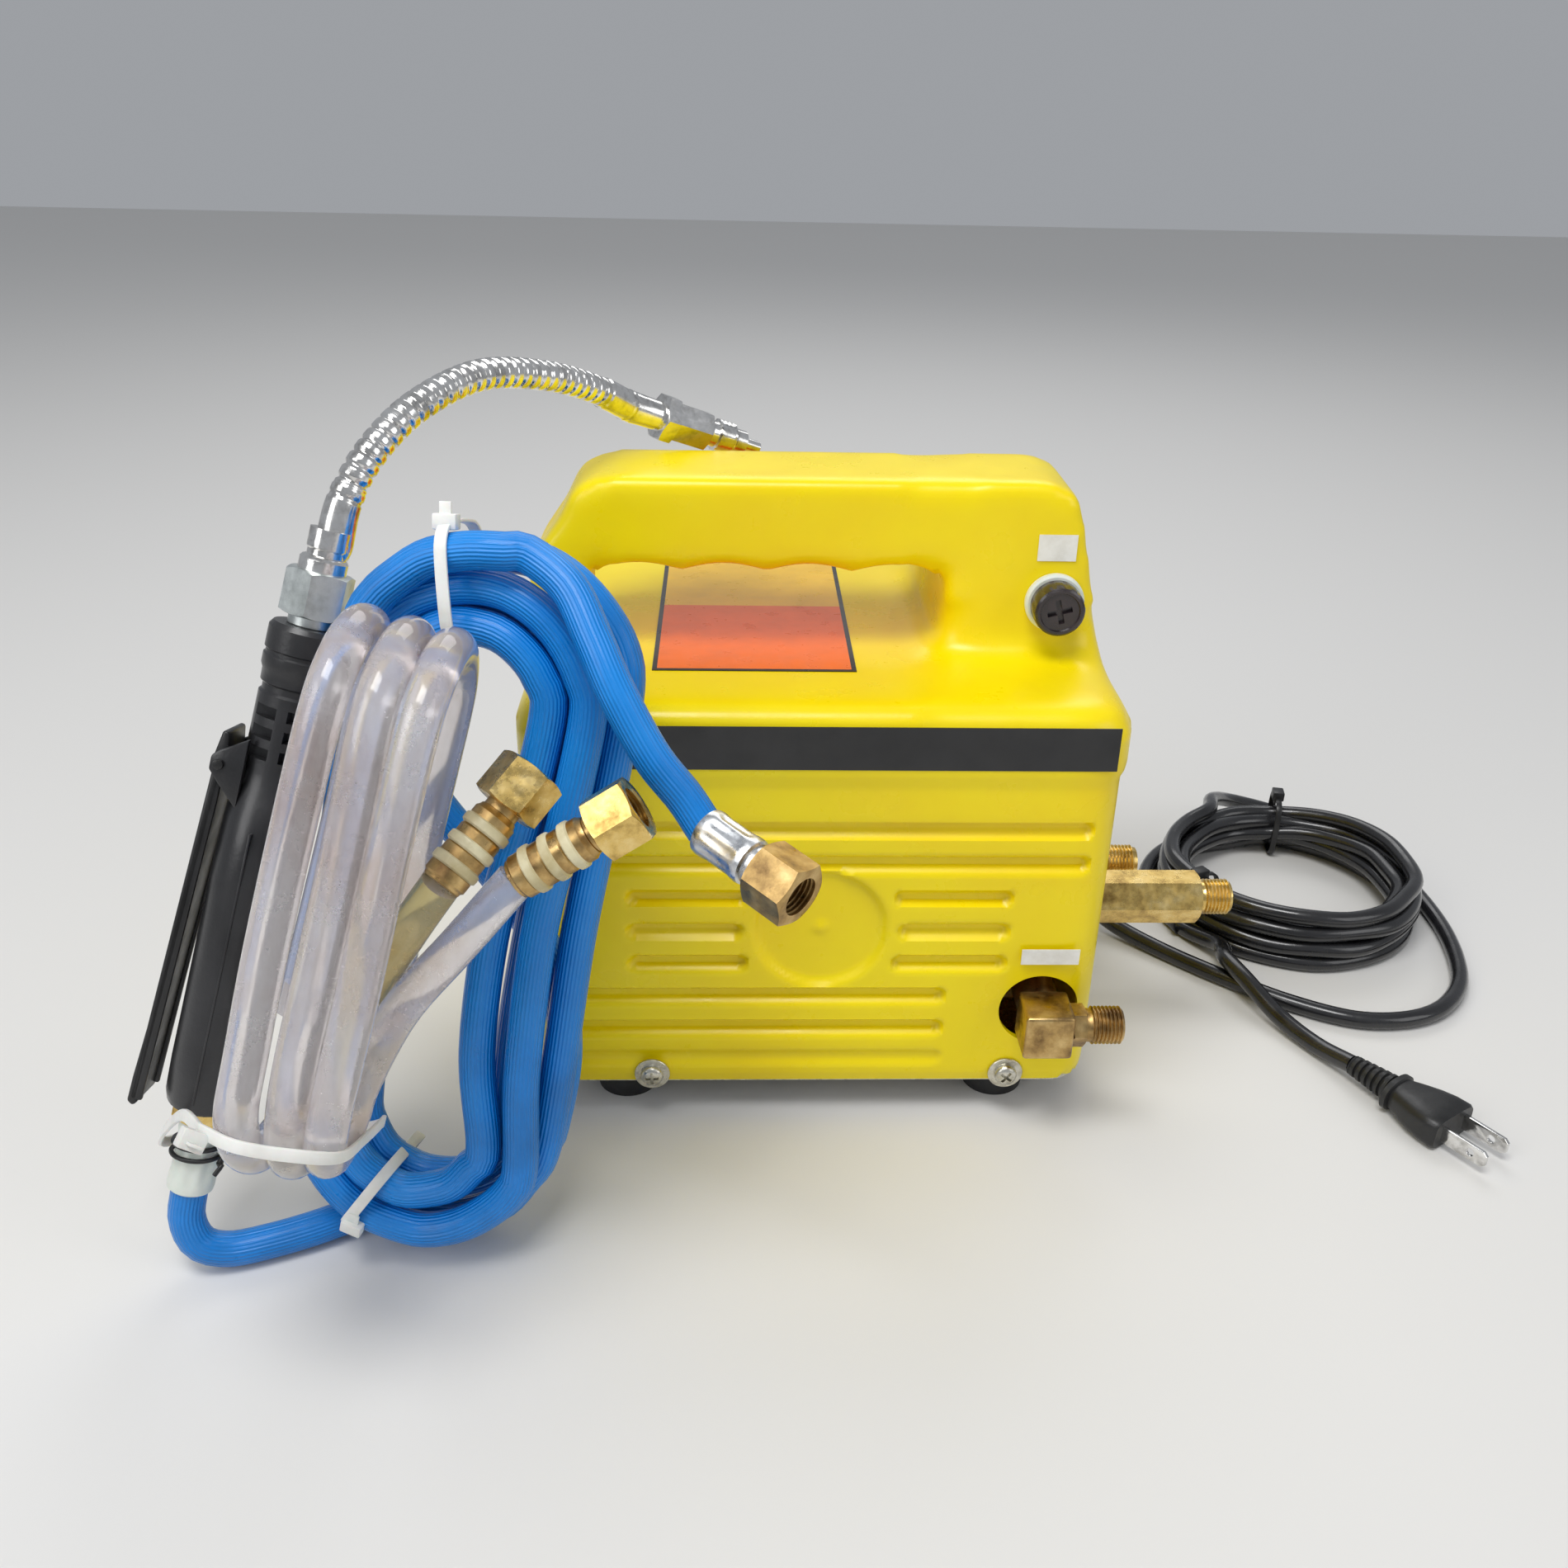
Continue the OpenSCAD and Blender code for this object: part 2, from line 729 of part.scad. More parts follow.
module end_nut() {
    // Crimped ferrule and swivel nut on the free end
    color("goldenrod") in_bundle() translate(end_nut_pos) rotate(end_nut_turn) difference() {
        union() {
            cylinder(r = 7, h = 18);
            translate([0, 0, 18]) cylinder(r = 5.5, h = 3);
            translate([0, 0, 21]) hex_z(17, 14);
        }
        translate([0, 0, 24]) cylinder(r = 6.2, h = 12);
    }
}

module clear_hose_hank() {
    color("lightgray") in_bundle() translate(clear_pos) rotate([0, clear_tilt, 0]) rotate([90, 0, 90])
        translate([0, 0, -clear_w / 2]) linear_extrude(clear_w) difference() {
            stadium(clear_half_d, clear_half_h);
            stadium(clear_half_d - clear_d, clear_half_h - clear_d);
        }
}

module suction_hose_end() {
    color("khaki") in_bundle() tube(smooth(suction_route, 3), clear_d / 2, 10);
}

module bypass_hose_end() {
    color("lightgray") in_bundle() tube(smooth(bypass_route, 3), clear_d / 2, 10);
}

// Barbed tail with clips and a swivel nut, along +Z
module hose_fitting() {
    difference() {
        union() {
            cylinder(r = 7, h = 24);
            translate([0, 0, 24]) cylinder(r = 5, h = 2);
            translate([0, 0, 26]) hex_z(17, 13);
        }
        translate([0, 0, 29]) cylinder(r = 6.2, h = 12);
    }
}

module suction_fitting() {
    color("goldenrod") in_bundle() translate(suction_end) rotate(suction_turn) hose_fitting();
}

module bypass_fitting() {
    color("goldenrod") in_bundle() translate(bypass_end) rotate(bypass_turn) hose_fitting();
}

module mains_lead() {
    color("black") {
        tube(smooth(lead_route, 2), lead_d / 2, 8);
        // Strain relief
        translate([half_w - wall, grommet_y, grommet_z]) rod_x(5.2, wall);
        translate([half_w, grommet_y, grommet_z]) rotate([0, 90, 0]) cylinder(r1 = 6.5, r2 = 4, h = 4);
    }
}

module lead_coil() {
    color("black") translate([coil_pos[0], coil_pos[1], 0]) rotate_extrude()
        translate([coil_r - coil_band, 0]) square([2 * coil_band, coil_h]);
}

module lead_tail() {
    color("black") tube(smooth(tail_route, 2), lead_d / 2, 8);
}

module plug() {
    color("black") translate([205, -64, 6.5]) rotate([0, 0, -58]) {
        translate([0, 0, 0]) rod_x(5.5, 18);
        translate([18, -8, -5.5]) cube([2.5, 16, 11]);
        translate([20.5, -11.5, -6.4]) cube([22, 23, 12.8]);
        for (y = [-6.35, 6.35]) translate([42.5, y - 0.75, -3.1]) cube([17, 1.5, 6.2]);
    }
}

case_cover();
front_band();
deck_label();
outlet_label();
fuse_label();
base_tray();
rubber_feet();
foot_screws();
foot_nuts();
case_screws();
motor_housing();
motor_front_cap();
motor_rear_cap();
stator();
rotor_core();
motor_shaft();
shaft_bearings();
cooling_fan();
motor_saddle();
eccentric_cam();
cam_bearing();
crankcase();
plunger();
plunger_spring();
pump_head();
inlet_valve_ball();
outlet_valve_ball();
outlet_elbow();
outlet_nipple();
inlet_adaptor();
bypass_nipple();
capacitor();
fuse_holder();
fuse_cap();
fuse_carrier();
fuse_tube();
power_switch();
power_rocker();
gun_body();
trigger_lever();
gun_valve_stem();
gun_inlet_nut();
gooseneck_nut();
gooseneck();
nozzle_fitting();
nozzle_tip();
hose_ferrule();
pressure_hose_start();
pressure_hose_hank();
pressure_hose_end();
end_nut();
clear_hose_hank();
suction_hose_end();
suction_fitting();
bypass_hose_end();
bypass_fitting();
mains_lead();
lead_coil();
lead_tail();
plug();
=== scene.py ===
"""Looks of the portable airless sprayer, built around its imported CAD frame. Pieces are shaped in millimetres
and brought to metres when they are put in place. +Z up, the front faces -Y."""
import json
import math
import random

import bmesh
import bpy
from mathutils import Euler, Matrix, Vector

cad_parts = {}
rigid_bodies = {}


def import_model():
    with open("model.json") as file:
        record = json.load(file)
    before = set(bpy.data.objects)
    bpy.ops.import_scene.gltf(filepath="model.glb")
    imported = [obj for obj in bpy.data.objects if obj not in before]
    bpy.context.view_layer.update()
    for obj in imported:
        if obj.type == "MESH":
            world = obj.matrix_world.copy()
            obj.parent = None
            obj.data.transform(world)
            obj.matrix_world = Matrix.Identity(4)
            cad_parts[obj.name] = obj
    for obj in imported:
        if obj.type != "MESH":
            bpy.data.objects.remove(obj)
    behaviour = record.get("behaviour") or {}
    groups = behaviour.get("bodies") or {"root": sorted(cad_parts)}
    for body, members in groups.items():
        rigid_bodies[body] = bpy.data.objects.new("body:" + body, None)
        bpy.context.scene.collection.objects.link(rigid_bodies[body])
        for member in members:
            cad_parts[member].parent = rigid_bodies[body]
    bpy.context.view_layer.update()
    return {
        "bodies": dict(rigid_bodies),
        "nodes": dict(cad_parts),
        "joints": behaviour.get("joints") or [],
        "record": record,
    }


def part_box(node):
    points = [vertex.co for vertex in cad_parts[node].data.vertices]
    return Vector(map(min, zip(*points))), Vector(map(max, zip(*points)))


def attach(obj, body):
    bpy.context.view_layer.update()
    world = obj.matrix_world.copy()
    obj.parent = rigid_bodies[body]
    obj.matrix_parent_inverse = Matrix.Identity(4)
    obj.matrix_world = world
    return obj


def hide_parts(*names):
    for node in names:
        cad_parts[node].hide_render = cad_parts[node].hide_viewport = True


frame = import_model()
MM = 0.001
random.seed(11)


# ---------------------------------------------------------------- places, as in the CAD part (millimetres)
def turn(x, y, z):
    return (
        Matrix.Rotation(math.radians(z), 4, "Z")
        @ Matrix.Rotation(math.radians(y), 4, "Y")
        @ Matrix.Rotation(math.radians(x), 4, "X")
    )


def at(x, y, z):
    return Matrix.Translation((x, y, z))


HOSE_D, CLEAR_D, LEAD_D = 11.0, 11.0, 7.0
PORT_THREAD, NUT_ACROSS = 6.6, 17  # radius of the port threads, flats of the swivel nuts
BORE_DEEP = 9
SCREWS_X, SCREWS_Z, CASE_HALF_DEEP = (-58, 68), 19, 85
BUNDLE = at(0, -158, 6) @ turn(-15.3, 0, 0)
GUN = BUNDLE @ at(-188, 0, 54) @ turn(0, 14.8, 0)
HANK = BUNDLE @ at(-111, 6.5, 112) @ turn(0, 10, -10)
CLEAR = BUNDLE @ at(-131.5, -46, 128) @ turn(0, 14.7, 0)
END_NUT = BUNDLE @ at(-37.6, -29, 143.8) @ turn(0, 112, -39)
SUCTION = BUNDLE @ at(-107.1, -46, 132.9) @ turn(0, 44, 30)
BYPASS = BUNDLE @ at(-88, -42, 133.2) @ turn(0, 58, -4)
NOZZLE = at(-66, 5, 234) @ turn(0, 111, 27)
PLUG = at(205, -64, 6.5) @ turn(0, 0, -58)
COIL_AT = Vector((222, 62, 0))

PRESSURE_START = [
    (-195.9, 0, 24), (-197.5, 0, 14), (-194.5, 1, 5), (-186.5, 3, 1.6), (-175, 7, 2), (-163, 12, 3.4),
    (-150, 18, 5.6), (-138, 23, 8.8),
]
PRESSURE_END = [
    (-87, -11, 217.5), (-75.5, -15, 208.7), (-68.3, -21, 195), (-61.8, -26, 181), (-52.5, -27, 164),
    (-43.5, -27, 152.5), (-37.6, -29, 143.8),
]
NECK = [
    (-143.5, -98, 216), (-140, -94, 228), (-133, -86, 240), (-122, -72, 250), (-107, -52, 255),
    (-91, -30, 251), (-77, -10, 243), (-66, 5, 234),
]
SUCTION_END = [(-138, -34, 68), (-134, -34, 82), (-127, -38, 103), (-116.5, -43, 119.5), (-107.1, -46, 132.9)]
BYPASS_END = [(-136, -50, 64), (-129.5, -49, 79), (-119, -46, 98), (-103, -43, 116), (-88, -42, 133.2)]
LEAD = [
    (104, 52, 24), (113, 50.5, 22), (124, 46, 14), (137, 36, 6), (153, 20, 3.6), (173, 0, 3.6),
    (197, -20, 3.6), (223, -32, 3.6), (251, -28, 3.6), (272, -8, 3.6), (283, 24, 3.6), (286, 60, 3.6),
    (282, 96, 3.6), (268, 128, 3.6), (244, 142, 6), (220, 138, 14), (205, 124, 22), (198, 108, 25),
]
TAIL = [(178, 16, 5), (176, 2, 3.6), (180, -14, 3.6), (188, -32, 3.6), (197, -49, 3.6), (205, -64, 6.5)]
TAIL_RISE = [3, 7.2, 6.6, 1.8, 0.5, 0]  # it crosses over the run that lies along the floor


# ---------------------------------------------------------------- the stage: camera, floor and lights
CAMERA_AT = Vector((-31.8, -498.2, 343.8)) * MM
CAMERA_DOWN, CAMERA_RIGHT, CAMERA_ROLL = 26.8, 2.5, 1.4
SENSOR, FOCAL = 36.0, 33.29


def make_camera():
    data = bpy.data.cameras.new("camera")
    data.sensor_width, data.lens = SENSOR, FOCAL
    camera = bpy.data.objects.new("camera", data)
    bpy.context.scene.collection.objects.link(camera)
    look = Euler((math.radians(90 - CAMERA_DOWN), 0, math.radians(-CAMERA_RIGHT))).to_matrix()
    tilt = look @ Matrix.Rotation(math.radians(CAMERA_ROLL), 3, "Z")
    camera.matrix_world = Matrix.Translation(CAMERA_AT) @ tilt.to_4x4()
    bpy.context.scene.camera = camera


def make_floor():
    bpy.ops.mesh.primitive_plane_add(size=6)
    floor = bpy.context.object
    floor.name = "floor"
    material = bpy.data.materials.new("pale_floor")
    material.use_nodes = True
    shader = material.node_tree.nodes["Principled BSDF"]
    shader.inputs["Base Color"].default_value = (0.72, 0.71, 0.69, 1)
    shader.inputs["Roughness"].default_value = 0.55
    floor.data.materials.append(material)
    world = bpy.data.worlds.new("soft_studio")
    world.use_nodes = True
    world.node_tree.nodes["Background"].inputs["Color"].default_value = (0.80, 0.83, 0.88, 1)
    world.node_tree.nodes["Background"].inputs["Strength"].default_value = 0.42
    bpy.context.scene.world = world


def set_colour_view():
    view = bpy.context.scene.view_settings
    view.view_transform, view.look, view.exposure, view.gamma = "Standard", "None", 0, 1


def make_light(name, place, aim, size, power):
    data = bpy.data.lights.new(name, "AREA")
    data.shape, data.size, data.size_y, data.energy = "RECTANGLE", size[0], size[1], power
    lamp = bpy.data.objects.new(name, data)
    bpy.context.scene.collection.objects.link(lamp)
    lamp.location = place
    lamp.rotation_euler = (Vector(aim) - Vector(place)).to_track_quat("-Z", "Y").to_euler()


# ---------------------------------------------------------------- materials
class Finish:
    """A Principled material whose nodes are laid by short calls. Patterns are on Object coordinates, in metres."""

    def __init__(self, name, colour, rough, metal=0.0, **sockets):
        self.material = bpy.data.materials.new(name)
        self.material.use_nodes = True
        self.tree = self.material.node_tree
        self.shader = self.tree.nodes["Principled BSDF"]
        self.coords = self.tree.nodes.new("ShaderNodeTexCoord")
        self.shader.inputs["Base Color"].default_value = (*colour, 1)
        self.shader.inputs["Roughness"].default_value = rough
        self.shader.inputs["Metallic"].default_value = metal
        for socket, value in sockets.items():
            self.shader.inputs[socket.replace("_", " ")].default_value = value

    def link(self, source, target):
        self.tree.links.new(source, target)

    def noise(self, scale, detail=3.0, rough=0.55, stretch=None, source="Object"):
        node = self.tree.nodes.new("ShaderNodeTexNoise")
        node.inputs["Scale"].default_value = scale
        node.inputs["Detail"].default_value = detail
        node.inputs["Roughness"].default_value = rough
        vector = self.coords.outputs[source]
        if stretch:
            mapping = self.tree.nodes.new("ShaderNodeMapping")
            mapping.inputs["Scale"].default_value = stretch
            self.link(vector, mapping.inputs["Vector"])
            vector = mapping.outputs["Vector"]
        self.link(vector, node.inputs["Vector"])
        return node.outputs["Fac"]

    def ramp(self, value, stops):
        node = self.tree.nodes.new("ShaderNodeValToRGB")
        band = node.color_ramp
        while len(band.elements) < len(stops):
            band.elements.new(0.5)
        for element, (place, colour) in zip(band.elements, stops):
            element.position, element.color = place, (*colour, 1)
        self.link(value, node.inputs["Fac"])
        return node.outputs["Color"]

    def spread(self, value, low, high, start=0.3, end=0.7):
        node = self.tree.nodes.new("ShaderNodeMapRange")
        for socket, number in (("From Min", start), ("From Max", end), ("To Min", low), ("To Max", high)):
            node.inputs[socket].default_value = number
        self.link(value, node.inputs["Value"])
        return node.outputs["Result"]

    def colour(self, value, stops):
        self.link(self.ramp(value, stops), self.shader.inputs["Base Color"])
        return self

    def gloss(self, value, low, high):
        self.link(self.spread(value, low, high), self.shader.inputs["Roughness"])
        return self

    def bump(self, value, height, strength=1.0):
        node = self.tree.nodes.new("ShaderNodeBump")
        node.inputs["Strength"].default_value = strength
        node.inputs["Distance"].default_value = height
        previous = self.shader.inputs["Normal"]
        if previous.is_linked:
            self.link(previous.links[0].from_socket, node.inputs["Normal"])
        self.link(value, node.inputs["Height"])
        self.link(node.outputs["Normal"], previous)
        return self

    def math(self, operation, a, b=None):
        node = self.tree.nodes.new("ShaderNodeMath")
        node.operation = operation
        for socket, value in zip(node.inputs, (a, b)):
            if hasattr(value, "links"):
                self.link(value, socket)
            elif value is not None:
                socket.default_value = value
        return node.outputs[0]

    def mix(self, factor, a, b, blend="MIX"):
        """Puts a mix of two colours on the shader."""
        node = self.tree.nodes.new("ShaderNodeMix")
        node.data_type, node.blend_type = "RGBA", blend
        if hasattr(factor, "links"):
            self.link(factor, node.inputs["Factor"])
        else:
            node.inputs["Factor"].default_value = factor
        self.link(a, node.inputs["A"])
        self.link(b, node.inputs["B"])
        self.link(node.outputs["Result"], self.shader.inputs["Base Color"])

    def along(self, source, axis):
        node = self.tree.nodes.new("ShaderNodeSeparateXYZ")
        self.link(self.coords.outputs[source], node.inputs[0])
        return node.outputs[axis]


def yellow_plastic():
    f = Finish("yellow_plastic", (1.0, 0.74, 0.0), 0.3, Subsurface_Weight=0.12, Subsurface_Scale=0.005,
               Specular_IOR_Level=0.42)
    f.shader.inputs["Subsurface Radius"].default_value = (1.0, 0.7, 0.02)
    f.colour(f.noise(14, 4), [(0.3, (0.88, 0.64, 0.0)), (0.52, (0.92, 0.71, 0.0)), (0.75, (0.95, 0.76, 0.0))])
    f.gloss(f.noise(60, 5), 0.24, 0.38)
    f.bump(f.noise(900, 3), 0.00006, 0.4)
    f.bump(f.noise(35, 4), 0.0004, 0.2)
    return f.bump(f.noise(40, 3, stretch=(0.2, 1, 14)), 0.0002, 0.15).material


def black_decal():
    f = Finish("black_decal", (0.006, 0.006, 0.007), 0.38, Coat_Weight=0.2)
    f.colour(f.noise(40, 4), [(0.35, (0.004, 0.004, 0.005)), (0.7, (0.012, 0.012, 0.013))])
    return f.gloss(f.noise(120, 4), 0.28, 0.5).bump(f.noise(700, 2), 0.00003, 0.4).material


def label_print():
    """Plain two-tone film with a thin dark border: amber above, orange below."""
    f = Finish("label_print", (0.9, 0.2, 0.02), 0.32, Coat_Weight=0.3)
    low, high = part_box("deck_label")
    x, y = f.along("Object", "X"), f.along("Object", "Y")
    middle, rim = (low + high) / 2, 0.0016
    split = f.math("GREATER_THAN", y, middle.y)
    edge_x = f.math("ABSOLUTE", f.math("SUBTRACT", x, middle.x))
    edge_y = f.math("ABSOLUTE", f.math("SUBTRACT", y, middle.y))
    border = f.math(
        "MAXIMUM",
        f.math("GREATER_THAN", edge_x, (high.x - low.x) / 2 - rim),
        f.math("GREATER_THAN", edge_y, (high.y - low.y) / 2 - rim),
    )
    index = f.math("ADD", f.math("MULTIPLY", split, 0.3), f.math("MULTIPLY", border, 0.6))
    ramp = f.ramp(index, [(0.0, (0.92, 0.17, 0.0)), (0.2, (0.93, 0.56, 0.01)), (0.55, (0.02, 0.015, 0.012))])
    f.tree.nodes[-1].color_ramp.interpolation = "CONSTANT"
    wear = f.ramp(f.noise(90, 5), [(0.35, (0.75, 0.74, 0.7)), (0.6, (1, 1, 1))])
    f.mix(0.35, ramp, wear, "MULTIPLY")
    return f.gloss(f.noise(150, 3), 0.24, 0.42).bump(f.noise(600, 2), 0.00003, 0.4).material


def small_label():
    f = Finish("small_label", (0.82, 0.80, 0.74), 0.36, Coat_Weight=0.3)
    f.colour(f.noise(160, 4), [(0.3, (0.70, 0.68, 0.61)), (0.6, (0.84, 0.83, 0.78))])
    return f.bump(f.noise(900, 2), 0.00003, 0.4).material


def metal(name, dark, mid, light, rough, patch=120, grain=1600, stretch=None, bump=0.00004):
    """Machined or plated metal: stained patches, uneven gloss and fine tool marks."""
    f = Finish(name, mid, rough[0], 1.0)
    f.colour(f.noise(patch, 6, 0.65), [(0.3, dark), (0.5, mid), (0.72, light)])
    f.gloss(f.noise(patch * 2.5, 5, 0.6), rough[0], rough[1])
    return f.bump(f.noise(grain, 3, stretch=stretch), bump, 0.6).bump(f.noise(260, 3), 0.0001, 0.25).material


def brass():
    return metal("brass", (0.34, 0.21, 0.06), (0.74, 0.52, 0.17), (0.90, 0.70, 0.32), (0.17, 0.42))


def old_brass():
    return metal("old_brass", (0.15, 0.085, 0.04), (0.50, 0.33, 0.13), (0.76, 0.56, 0.26), (0.24, 0.5), 90)


def bright_plate():
    return metal("bright_plate", (0.44, 0.43, 0.41), (0.80, 0.79, 0.77), (0.92, 0.92, 0.91), (0.09, 0.26), 150)


def nut_plate():
    return metal("nut_plate", (0.42, 0.45, 0.44), (0.62, 0.66, 0.65), (0.74, 0.77, 0.76), (0.28, 0.46), 110)


def zinc_steel():
    return metal("zinc_steel", (0.33, 0.30, 0.24), (0.60, 0.58, 0.50), (0.76, 0.74, 0.68), (0.2, 0.42), 220)


def crimp_steel():
    return metal("crimp_steel", (0.52, 0.53, 0.54), (0.72, 0.74, 0.76), (0.86, 0.87, 0.88), (0.2, 0.4), 160)


def cast_alloy():
    return metal("cast_alloy", (0.33, 0.33, 0.34), (0.52, 0.53, 0.54), (0.64, 0.65, 0.66), (0.42, 0.62),
                 70, 900, None, 0.0002)


def motor_core():
    return metal("motor_core", (0.20, 0.19, 0.18), (0.36, 0.35, 0.34), (0.5, 0.49, 0.48), (0.38, 0.6),
                 90, 1800, (1, 18, 1))


def plastic(name, dark, light, rough, grain=1100, height=0.00008, **sockets):
    f = Finish(name, light, rough[0], **sockets)
    f.colour(f.noise(70, 4), [(0.35, dark), (0.65, light)])
    f.gloss(f.noise(110, 4), rough[0], rough[1])
    return f.bump(f.noise(grain, 3), height, 0.6).material


def black_plastic():
    return plastic("black_plastic", (0.008, 0.008, 0.008), (0.017, 0.017, 0.018), (0.3, 0.46))


def gun_plastic():
    f = Finish("gun_plastic", (0.012, 0.012, 0.013), 0.3, Coat_Weight=0.25, Coat_Roughness=0.22)
    f.colour(f.noise(45, 5), [(0.35, (0.007, 0.007, 0.008)), (0.7, (0.02, 0.02, 0.022))])
    f.gloss(f.noise(30, 5), 0.24, 0.44)
    return f.bump(f.noise(800, 4), 0.0001, 0.8).bump(f.noise(50, 2), 0.0004, 0.12).material


def cap_plastic():
    return plastic("cap_plastic", (0.016, 0.011, 0.012), (0.035, 0.024, 0.026), (0.18, 0.34), Coat_Weight=0.3)


def black_rubber():
    return plastic("black_rubber", (0.012, 0.012, 0.012), (0.03, 0.03, 0.03), (0.6, 0.82), 500, 0.0003)


def motor_paint():
    return plastic("motor_paint", (0.03, 0.045, 0.055), (0.06, 0.08, 0.09), (0.35, 0.55), 300, 0.0002)


def white_plastic():
    return plastic("white_plastic", (0.62, 0.67, 0.60), (0.76, 0.80, 0.74), (0.28, 0.42), Subsurface_Weight=0.1,
                   Subsurface_Scale=0.003)


def tie_nylon():
    return plastic("tie_nylon", (0.70, 0.70, 0.66), (0.85, 0.85, 0.82), (0.3, 0.45), Subsurface_Weight=0.15,
                   Subsurface_Scale=0.002)


def red_plastic():
    return plastic("red_plastic", (0.35, 0.01, 0.01), (0.55, 0.02, 0.015), (0.22, 0.36))


def fuse_glass():
    f = Finish("fuse_glass", (0.86, 0.9, 0.9), 0.05, Transmission_Weight=0.9, IOR=1.45)
    return f.gloss(f.noise(300, 3), 0.03, 0.12).material


def hose_ribs(f, count, height, strength):
    """Fine ribs along a tube: its own UV map runs once round the tube in X."""
    wave = f.math("SINE", f.math("MULTIPLY", f.along("UV", "X"), 2 * math.pi * count))
    return f.bump(wave, height, strength)


def blue_hose():
    f = Finish("blue_hose", (0.0, 0.15, 0.66), 0.34, Coat_Weight=0.25, Coat_Roughness=0.16,
               Specular_IOR_Level=0.4)
    f.colour(f.noise(26, 5), [(0.28, (0.0, 0.145, 0.46)), (0.5, (0.0, 0.215, 0.68)), (0.75, (0.006, 0.275, 0.80))])
    f.gloss(f.noise(70, 5), 0.26, 0.46)
    return hose_ribs(f, 30, 0.00016, 0.7).bump(f.noise(380, 4), 0.0001, 0.35).material


def vinyl(name, dark, mid, light):
    f = Finish(name, mid, 0.14, Transmission_Weight=0.72, IOR=1.24, Coat_Weight=0.7, Coat_Roughness=0.05)
    f.gloss(f.noise(90, 6, 0.7), 0.08, 0.34)
    f.colour(f.noise(36, 6, 0.7, stretch=(1, 1, 0.45)), [(0.3, dark), (0.48, mid), (0.68, light)])
    return f.bump(f.noise(240, 5), 0.00016, 0.5).bump(f.noise(60, 3, stretch=(1, 1, 0.3)), 0.0005, 0.3)


def clear_vinyl():
    return vinyl("clear_vinyl", (0.70, 0.58, 0.54), (0.86, 0.81, 0.81), (0.97, 0.96, 0.97)).material


def aged_vinyl():
    """The same tube, gone yellow where it comes near its fitting."""
    f = vinyl("aged_vinyl", (0.70, 0.58, 0.54), (0.86, 0.81, 0.81), (0.97, 0.96, 0.97))
    clear = f.shader.inputs["Base Color"].links[0].from_socket
    yellowed = f.ramp(f.noise(42, 6, 0.7), [(0.3, (0.62, 0.50, 0.20)), (0.7, (0.84, 0.78, 0.46))])
    f.mix(f.spread(f.along("UV", "Y"), 0, 1, 0.62, 0.70), clear, yellowed)
    return f.material


def black_lead():
    f = Finish("black_lead", (0.011, 0.011, 0.012), 0.22, Coat_Weight=0.4, Coat_Roughness=0.12)
    f.colour(f.noise(40, 4), [(0.35, (0.006, 0.006, 0.007)), (0.7, (0.018, 0.018, 0.02))])
    return f.gloss(f.noise(120, 4), 0.16, 0.34).bump(f.noise(300, 3), 0.00012, 0.5).material


# ---------------------------------------------------------------- shaping
def fresh():
    if bpy.context.object and bpy.context.object.mode != "OBJECT":
        bpy.ops.object.mode_set(mode="OBJECT")
    bpy.ops.object.select_all(action="DESELECT")


def only(obj):
    """Selects one object alone and makes it the active one."""
    fresh()
    obj.select_set(True)
    bpy.context.view_layer.objects.active = obj


def as_object(bm, name):
    mesh = bpy.data.meshes.new(name)
    bm.to_mesh(mesh)
    bm.free()
    obj = bpy.data.objects.new(name, mesh)
    bpy.context.scene.collection.objects.link(obj)
    return obj


def apply(obj, kind, **settings):
    """Gives an object a modifier with these settings and applies it."""
    only(obj)
    modifier = obj.modifiers.new(kind.lower(), kind)
    for key, value in settings.items():
        setattr(modifier, key, value)
    bpy.ops.object.modifier_apply(modifier=modifier.name)
    return obj


def place(obj, name, where, finish, slot, body="unit", sharp=32, stands_for=()):
    """Brings a shaped piece from millimetres to its place and puts it on its body."""
    obj.name = obj.data.name = name
    obj.data.transform(Matrix.Scale(MM, 4) @ where)
    obj.data.materials.clear()
    obj.data.materials.append(finish)
    settle(obj, body, sharp)
    if stands_for:
        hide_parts(*stands_for)
    return obj


def settle(obj, body, sharp=32):
    only(obj)
    bpy.ops.object.shade_smooth_by_angle(angle=math.radians(sharp))
    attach(obj, body)


def turned_stock(stations, sides=40):
    """A round piece along Z, drawn out ring by ring from a disc; stations are (radius, height)."""
    fresh()
    r, z = stations[0]
    bpy.ops.mesh.primitive_circle_add(vertices=sides, radius=r, fill_type="NGON")
    bpy.ops.object.mode_set(mode="EDIT")
    bpy.ops.transform.translate(value=(0, 0, z))
    for radius, height in stations[1:]:
        bpy.ops.mesh.extrude_region_move(TRANSFORM_OT_translate={"value": (0, 0, height - z)})
        if radius != r:
            bpy.ops.transform.resize(value=(radius / r, radius / r, 1), center_override=(0, 0, height))
        r, z = radius, height
    bpy.ops.mesh.select_all(action="SELECT")
    bpy.ops.mesh.normals_make_consistent(inside=False)
    bpy.ops.object.mode_set(mode="OBJECT")
    return bpy.context.object


def hexagon(across, low, high, chamfer=0.9):
    """A hexagon bar along Z whose corners are turned off at both ends."""
    fresh()
    corner = across / math.sqrt(3)
    bpy.ops.mesh.primitive_cylinder_add(vertices=6, radius=corner, depth=high - low)
    bar = bpy.context.object
    bar.data.transform(at(0, 0, (low + high) / 2))
    edge = across / 2 - 0.1
    drop = (corner - edge) * 0.55 * chamfer
    cone = turned_stock([(edge, low), (corner + 0.1, low + drop), (corner + 0.1, high - drop), (edge, high)], 48)
    return cut(bar, cone, "INTERSECT")


